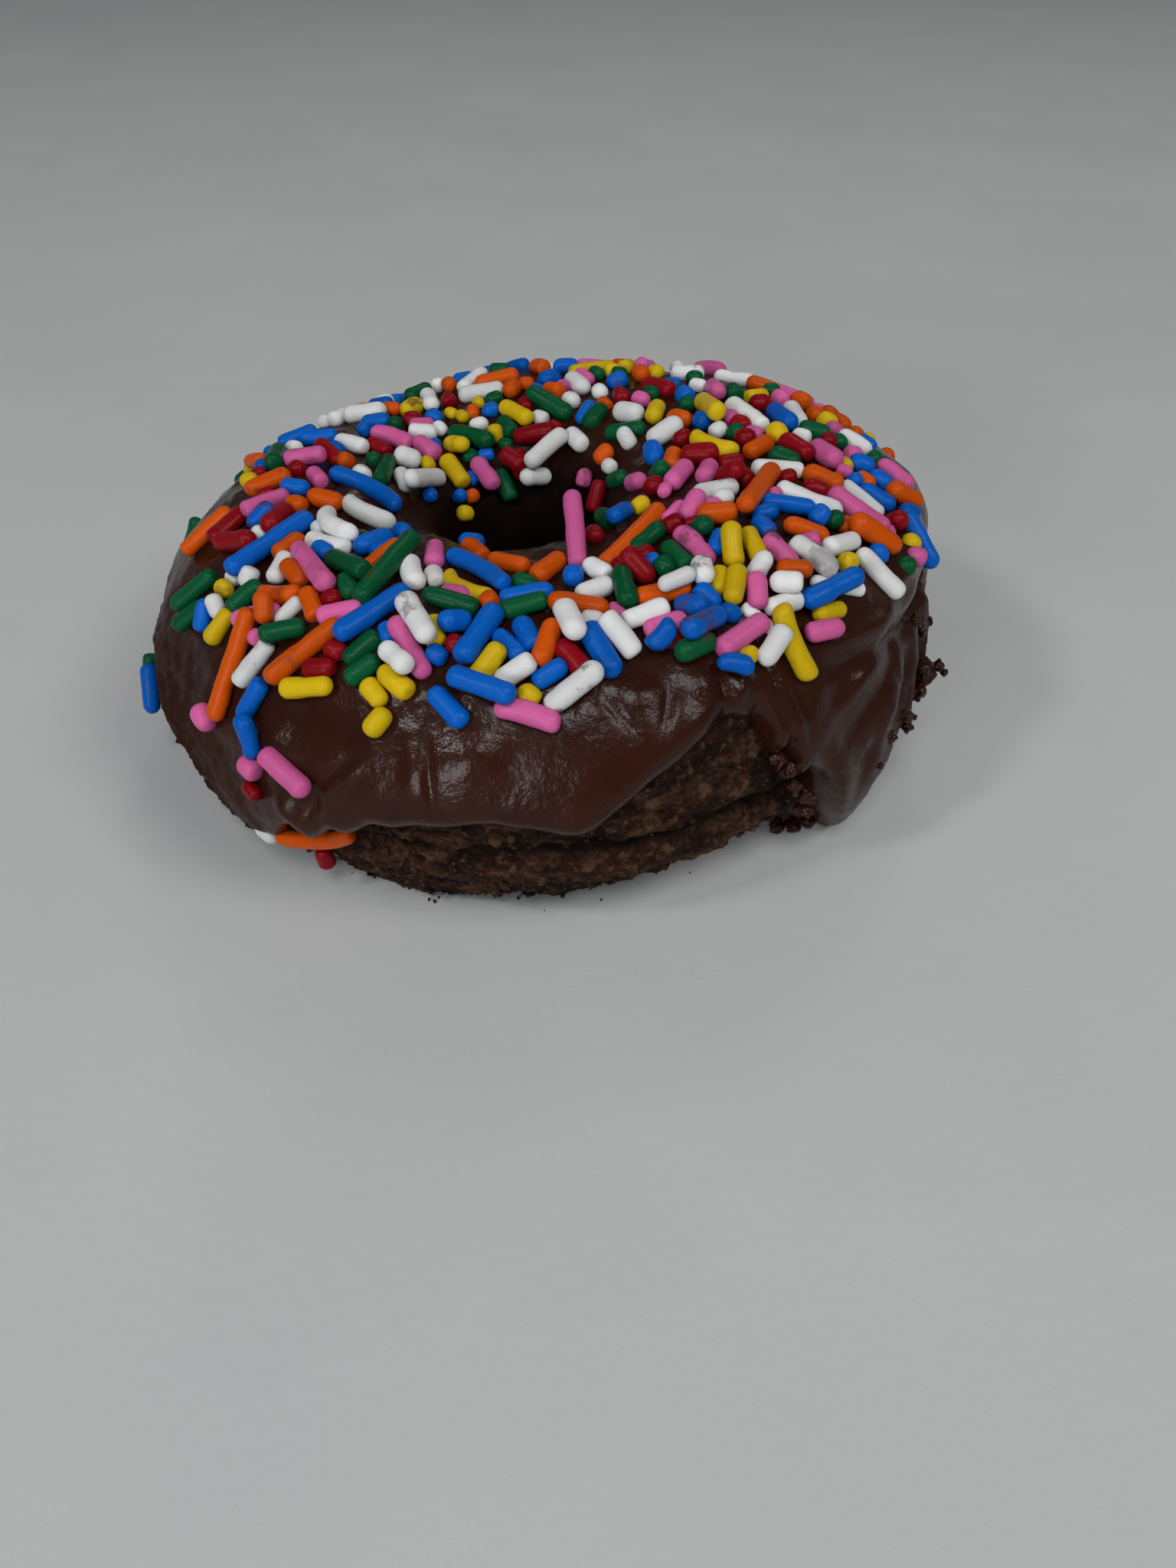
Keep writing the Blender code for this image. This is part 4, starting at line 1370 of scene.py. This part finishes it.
def noise_node(nodes, links, scale, detail, roughness=0.6, stretch=None):
    where = nodes.new("ShaderNodeTexCoord")
    texture = nodes.new("ShaderNodeTexNoise")
    texture.inputs["Scale"].default_value = scale
    texture.inputs["Detail"].default_value = detail
    texture.inputs["Roughness"].default_value = roughness
    source = where.outputs["Object"]
    if stretch:
        mapping = nodes.new("ShaderNodeMapping")
        mapping.inputs["Scale"].default_value = stretch
        links.new(source, mapping.inputs["Vector"])
        source = mapping.outputs["Vector"]
    links.new(source, texture.inputs["Vector"])
    return texture.outputs["Fac"]


def ramp_node(nodes, links, source, stops):
    ramp = nodes.new("ShaderNodeValToRGB")
    elements = ramp.color_ramp.elements
    for number, (spot, colour) in enumerate(stops):
        element = elements[number] if number < 2 else elements.new(spot)
        element.position = spot
        element.color = (*colour, 1)
    links.new(source, ramp.inputs["Fac"])
    return ramp.outputs["Color"]


def range_node(nodes, links, source, low, high, to_low, to_high):
    node = nodes.new("ShaderNodeMapRange")
    for socket, value in (("From Min", low), ("From Max", high), ("To Min", to_low), ("To Max", to_high)):
        node.inputs[socket].default_value = value
    links.new(source, node.inputs["Value"])
    return node.outputs["Result"]


def math_node(nodes, links, operation, *values):
    """A node of the given operation on sockets and numbers, in the order of the node's inputs."""
    node = nodes.new("ShaderNodeMath")
    node.operation = operation
    for socket, value in zip(node.inputs, values):
        if isinstance(value, bpy.types.NodeSocket):
            links.new(value, socket)
        else:
            socket.default_value = value
    return node.outputs["Value"]


def mix_node(nodes, links, share, one, other, blend="MIX"):
    """Colours mixed by share; each is a socket or a colour."""
    node = nodes.new("ShaderNodeMix")
    node.data_type = "RGBA"
    node.blend_type = blend
    for socket, value in ((0, share), (6, one), (7, other)):
        if isinstance(value, bpy.types.NodeSocket):
            links.new(value, node.inputs[socket])
        elif socket:
            node.inputs[socket].default_value = (*value, 1)
        else:
            node.inputs[socket].default_value = value
    return node.outputs[2]


def bump_node(nodes, links, source, strength, distance, shader, before=None):
    node = nodes.new("ShaderNodeBump")
    node.inputs["Strength"].default_value = strength
    node.inputs["Distance"].default_value = distance
    links.new(source, node.inputs["Height"])
    if before:
        links.new(before, node.inputs["Normal"])
    links.new(node.outputs["Normal"], shader.inputs["Normal"])
    return node.outputs["Normal"]


def icing_material():
    material, nodes, links, shader = new_material("chocolate icing")
    broad = noise_node(nodes, links, 160, 4)
    stops = ((0.3, (0.023, 0.0056, 0.0028)), (0.7, (0.033, 0.0088, 0.0044)))
    colour = ramp_node(nodes, links, broad, stops)
    depth = nodes.new("ShaderNodeAttribute")
    depth.attribute_name = "depth"
    # Down the hole the colour turns near black: painted shade.
    colour = mix_node(nodes, links, depth.outputs["Fac"], colour, (0.004, 0.0014, 0.0009))
    links.new(colour, shader.inputs["Base Color"])
    sheen = noise_node(nodes, links, 230, 3)
    wear = nodes.new("ShaderNodeAttribute")
    wear.attribute_name = "wear"
    dull = math_node(nodes, links, "MAXIMUM", wear.outputs["Fac"], depth.outputs["Fac"])
    satin = range_node(nodes, links, sheen, 0.3, 0.7, 0.15, 0.27)
    rough = math_node(nodes, links, "MULTIPLY_ADD", dull, 0.42, satin)
    links.new(rough, shader.inputs["Roughness"])
    links.new(range_node(nodes, links, dull, 0, 1, 0.18, 0.03), shader.inputs["Specular IOR Level"])
    fine = noise_node(nodes, links, 2200, 4)
    coarse = noise_node(nodes, links, 520, 4)
    first = bump_node(nodes, links, coarse, 0.32, 0.0005, shader)
    bump_node(nodes, links, fine, 0.2, 0.0001, shader, first)
    return material


def cake_material():
    material, nodes, links, shader = new_material("chocolate cake")
    broad = noise_node(nodes, links, 230, 6, 0.65, (1, 1, 2.2))
    stops = ((0.40, (0.013, 0.0040, 0.0022)), (0.48, (0.031, 0.0108, 0.0056)), (0.55, (0.063, 0.025, 0.0125)))
    colour = ramp_node(nodes, links, broad, stops + ((0.63, (0.125, 0.062, 0.032)),))
    grain = noise_node(nodes, links, 1150, 4, 0.65)
    dark = range_node(nodes, links, grain, 0.50, 0.36, 0, 0.85)
    colour = mix_node(nodes, links, dark, colour, (0.010, 0.0036, 0.0022))
    light = range_node(nodes, links, grain, 0.56, 0.66, 0, 0.8)
    colour = mix_node(nodes, links, light, colour, (0.140, 0.074, 0.039))
    rise = nodes.new("ShaderNodeAttribute")
    rise.attribute_name = "rise"
    # Sunk pits go darker as painted shade and proud parts go lighter as painted light, both read from the rise.
    sunk = range_node(nodes, links, rise.outputs["Fac"], -0.2, -1.2, 0, 0.9)
    colour = mix_node(nodes, links, sunk, colour, (0.007, 0.0026, 0.0017))
    proud = range_node(nodes, links, rise.outputs["Fac"], 0.6, 2.2, 0, 0.65)
    colour = mix_node(nodes, links, proud, colour, (0.145, 0.080, 0.042))
    links.new(colour, shader.inputs["Base Color"])
    shader.inputs["Roughness"].default_value = 0.75
    shader.inputs["Specular IOR Level"].default_value = 0.12
    fine = noise_node(nodes, links, 1800, 6, 0.75)
    bump_node(nodes, links, fine, 1.0, 0.0007, shader)
    return material


SPRINKLE_COLOURS = {
    "W": (0.68, 0.68, 0.67),
    "Y": (0.58, 0.39, 0.004),
    "O": (0.54, 0.072, 0.0008),
    "R": (0.21, 0.0015, 0.006),
    "P": (0.59, 0.105, 0.30),
    "B": (0.0003, 0.098, 0.46),
    "G": (0.0008, 0.075, 0.024),
}


def sprinkle_material(code):
    material, nodes, links, shader = new_material(f"{COLOURS[code]} sprinkle")
    base = SPRINKLE_COLOURS[code]
    tone = nodes.new("ShaderNodeAttribute")
    tone.attribute_name = "tone"
    light = tuple(min(c * 1.12 + 0.002, 1) for c in base)
    dark = tuple(c * 0.84 for c in base)
    share = range_node(nodes, links, tone.outputs["Fac"], -1, 1, 0, 1)
    colour = mix_node(nodes, links, share, dark, light)
    mottle = noise_node(nodes, links, 900, 3)
    share = range_node(nodes, links, mottle, 0.35, 0.75, 0, 0.16)
    colour = mix_node(nodes, links, share, colour, tuple(c * 0.62 for c in base))
    dirt = nodes.new("ShaderNodeAttribute")
    dirt.attribute_name = "smear"
    blot = noise_node(nodes, links, 380, 3)
    smeared = range_node(nodes, links, dirt.outputs["Fac"], 0.8, 1, 0, 1)
    blots = range_node(nodes, links, blot, 0.56, 0.64, 0, 0.75)
    share = math_node(nodes, links, "MULTIPLY", smeared, blots)
    colour = mix_node(nodes, links, share, colour, (0.07, 0.03, 0.018))
    links.new(colour, shader.inputs["Base Color"])
    shader.inputs["Roughness"].default_value = 0.32
    shader.inputs["Specular IOR Level"].default_value = 0.11
    fine = noise_node(nodes, links, 1300, 3)
    bump_node(nodes, links, fine, 0.3, 0.00018, shader)
    return material


def paper_material():
    material, nodes, links, shader = new_material("grey paper")
    broad = noise_node(nodes, links, 18, 4)
    colour = ramp_node(nodes, links, broad, ((0.3, (0.50, 0.51, 0.51)), (0.7, (0.54, 0.545, 0.54))))
    links.new(colour, shader.inputs["Base Color"])
    shader.inputs["Roughness"].default_value = 0.7
    fine = noise_node(nodes, links, 700, 4)
    bump_node(nodes, links, fine, 0.12, 0.0003, shader)
    return material


# The stage

# Lamps: name, bearing, degrees up, distance, size, watts, colour
LAMPS = (
    ("right lamp", 325, 48, 1.2, 0.45, 3.8, (1, 0.98, 0.95)),
    ("left lamp", 215, 45, 1.2, 0.16, 2.3, (1, 0.98, 0.95)),
    ("front lamp", 268, 54, 1.2, 0.40, 4.0, (0.95, 0.98, 1)),
    ("back lamp", 80, 55, 1.2, 0.30, 0.9, (1, 0.98, 0.95)),
    ("card", 243, 16, 0.7, 0.24, 1.35, (0.95, 0.98, 1)),
)


def add_stage():
    mesh = bpy.data.meshes.new("table")
    size = 1.6
    mesh.from_pydata([(-size, -size, 0), (size, -size, 0), (size, size, 0), (-size, size, 0)], [], [(0, 1, 2, 3)])
    table = bpy.data.objects.new("table", mesh)
    mesh.materials.append(paper_material())
    bpy.context.scene.collection.objects.link(table)


def add_light(name, bearing, rise, distance, size, power, colour):
    """A round lamp on this bearing and this many degrees up, facing the doughnut."""
    light = bpy.data.lights.new(name, "AREA")
    light.shape = "DISK"
    light.size = size
    light.energy = power
    light.color = colour
    lamp = bpy.data.objects.new(name, light)
    turn, lean = math.radians(bearing), math.radians(rise)
    across = distance * math.cos(lean)
    lamp.location = (across * math.cos(turn), across * math.sin(turn), distance * math.sin(lean))
    lamp.rotation_euler = (math.pi / 2 - lean, 0, turn + math.pi / 2)
    bpy.context.scene.collection.objects.link(lamp)


def add_world():
    world = bpy.data.worlds.new("world")
    world.use_nodes = True
    background = world.node_tree.nodes["Background"]
    background.inputs["Color"].default_value = (0.86, 0.93, 1.0, 1)
    background.inputs["Strength"].default_value = 0.11
    bpy.context.scene.world = world


def add_camera():
    data = bpy.data.cameras.new("camera")
    data.lens = LENS
    data.clip_start = 0.01
    camera = bpy.data.objects.new("camera", data)
    camera.location = EYE * METRES
    camera.rotation_euler = (math.radians(EYE_TILT), 0, 0)
    bpy.context.scene.collection.objects.link(camera)
    bpy.context.scene.camera = camera


def build():
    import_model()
    cake_bearings = bearings(CAKE_FINE_STEP, CAKE_STEP)
    cake_rings = cake_points(cake_bearings)
    cake = add_piece(
        "cake",
        cake_rings.reshape(-1, 3),
        ring_faces(*cake_rings.shape[:2]),
        cake_material(),
    )
    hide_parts("doughnut_cake")
    icing_rings = icing_points(bearings(ICING_FINE_STEP, ICING_STEP))
    icing = add_piece(
        "icing",
        icing_rings.reshape(-1, 3),
        ring_faces(*icing_rings.shape[:2]),
        icing_material(),
    )
    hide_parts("chocolate_icing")
    set_values(cake, "rise", cake_rise(cake_rings, cake_bearings))
    set_values(icing, "depth", icing_depth(icing_rings))
    set_values(icing, "wear", icing_wear(icing_rings))
    add_lumps("icing_lumps", list(icing_lumps()), icing.data.materials[0])
    bits = list(crumbs(np.random.default_rng(5)))
    crumb_piece = add_lumps("crumbs", bits, cake.data.materials[0])
    # Each crumb gets a set rise, one of seven in turn, so the cake material's painted shade and painted light make
    # some crumbs darker and some lighter.
    set_values(crumb_piece, "rise", np.repeat(np.arange(len(bits)) % 7 * 0.45 - 0.4, bits[0].shape[0] * bits[0].shape[1]))
    heap = seen_heap()
    fill_unseen(heap, np.random.default_rng(3))
    add_sprinkles(heap, {code: sprinkle_material(code) for code in COLOURS})
    add_stage()
    for lamp in LAMPS:
        add_light(*lamp)
    add_world()
    add_camera()
    bpy.context.scene.view_settings.view_transform = "Standard"


build()
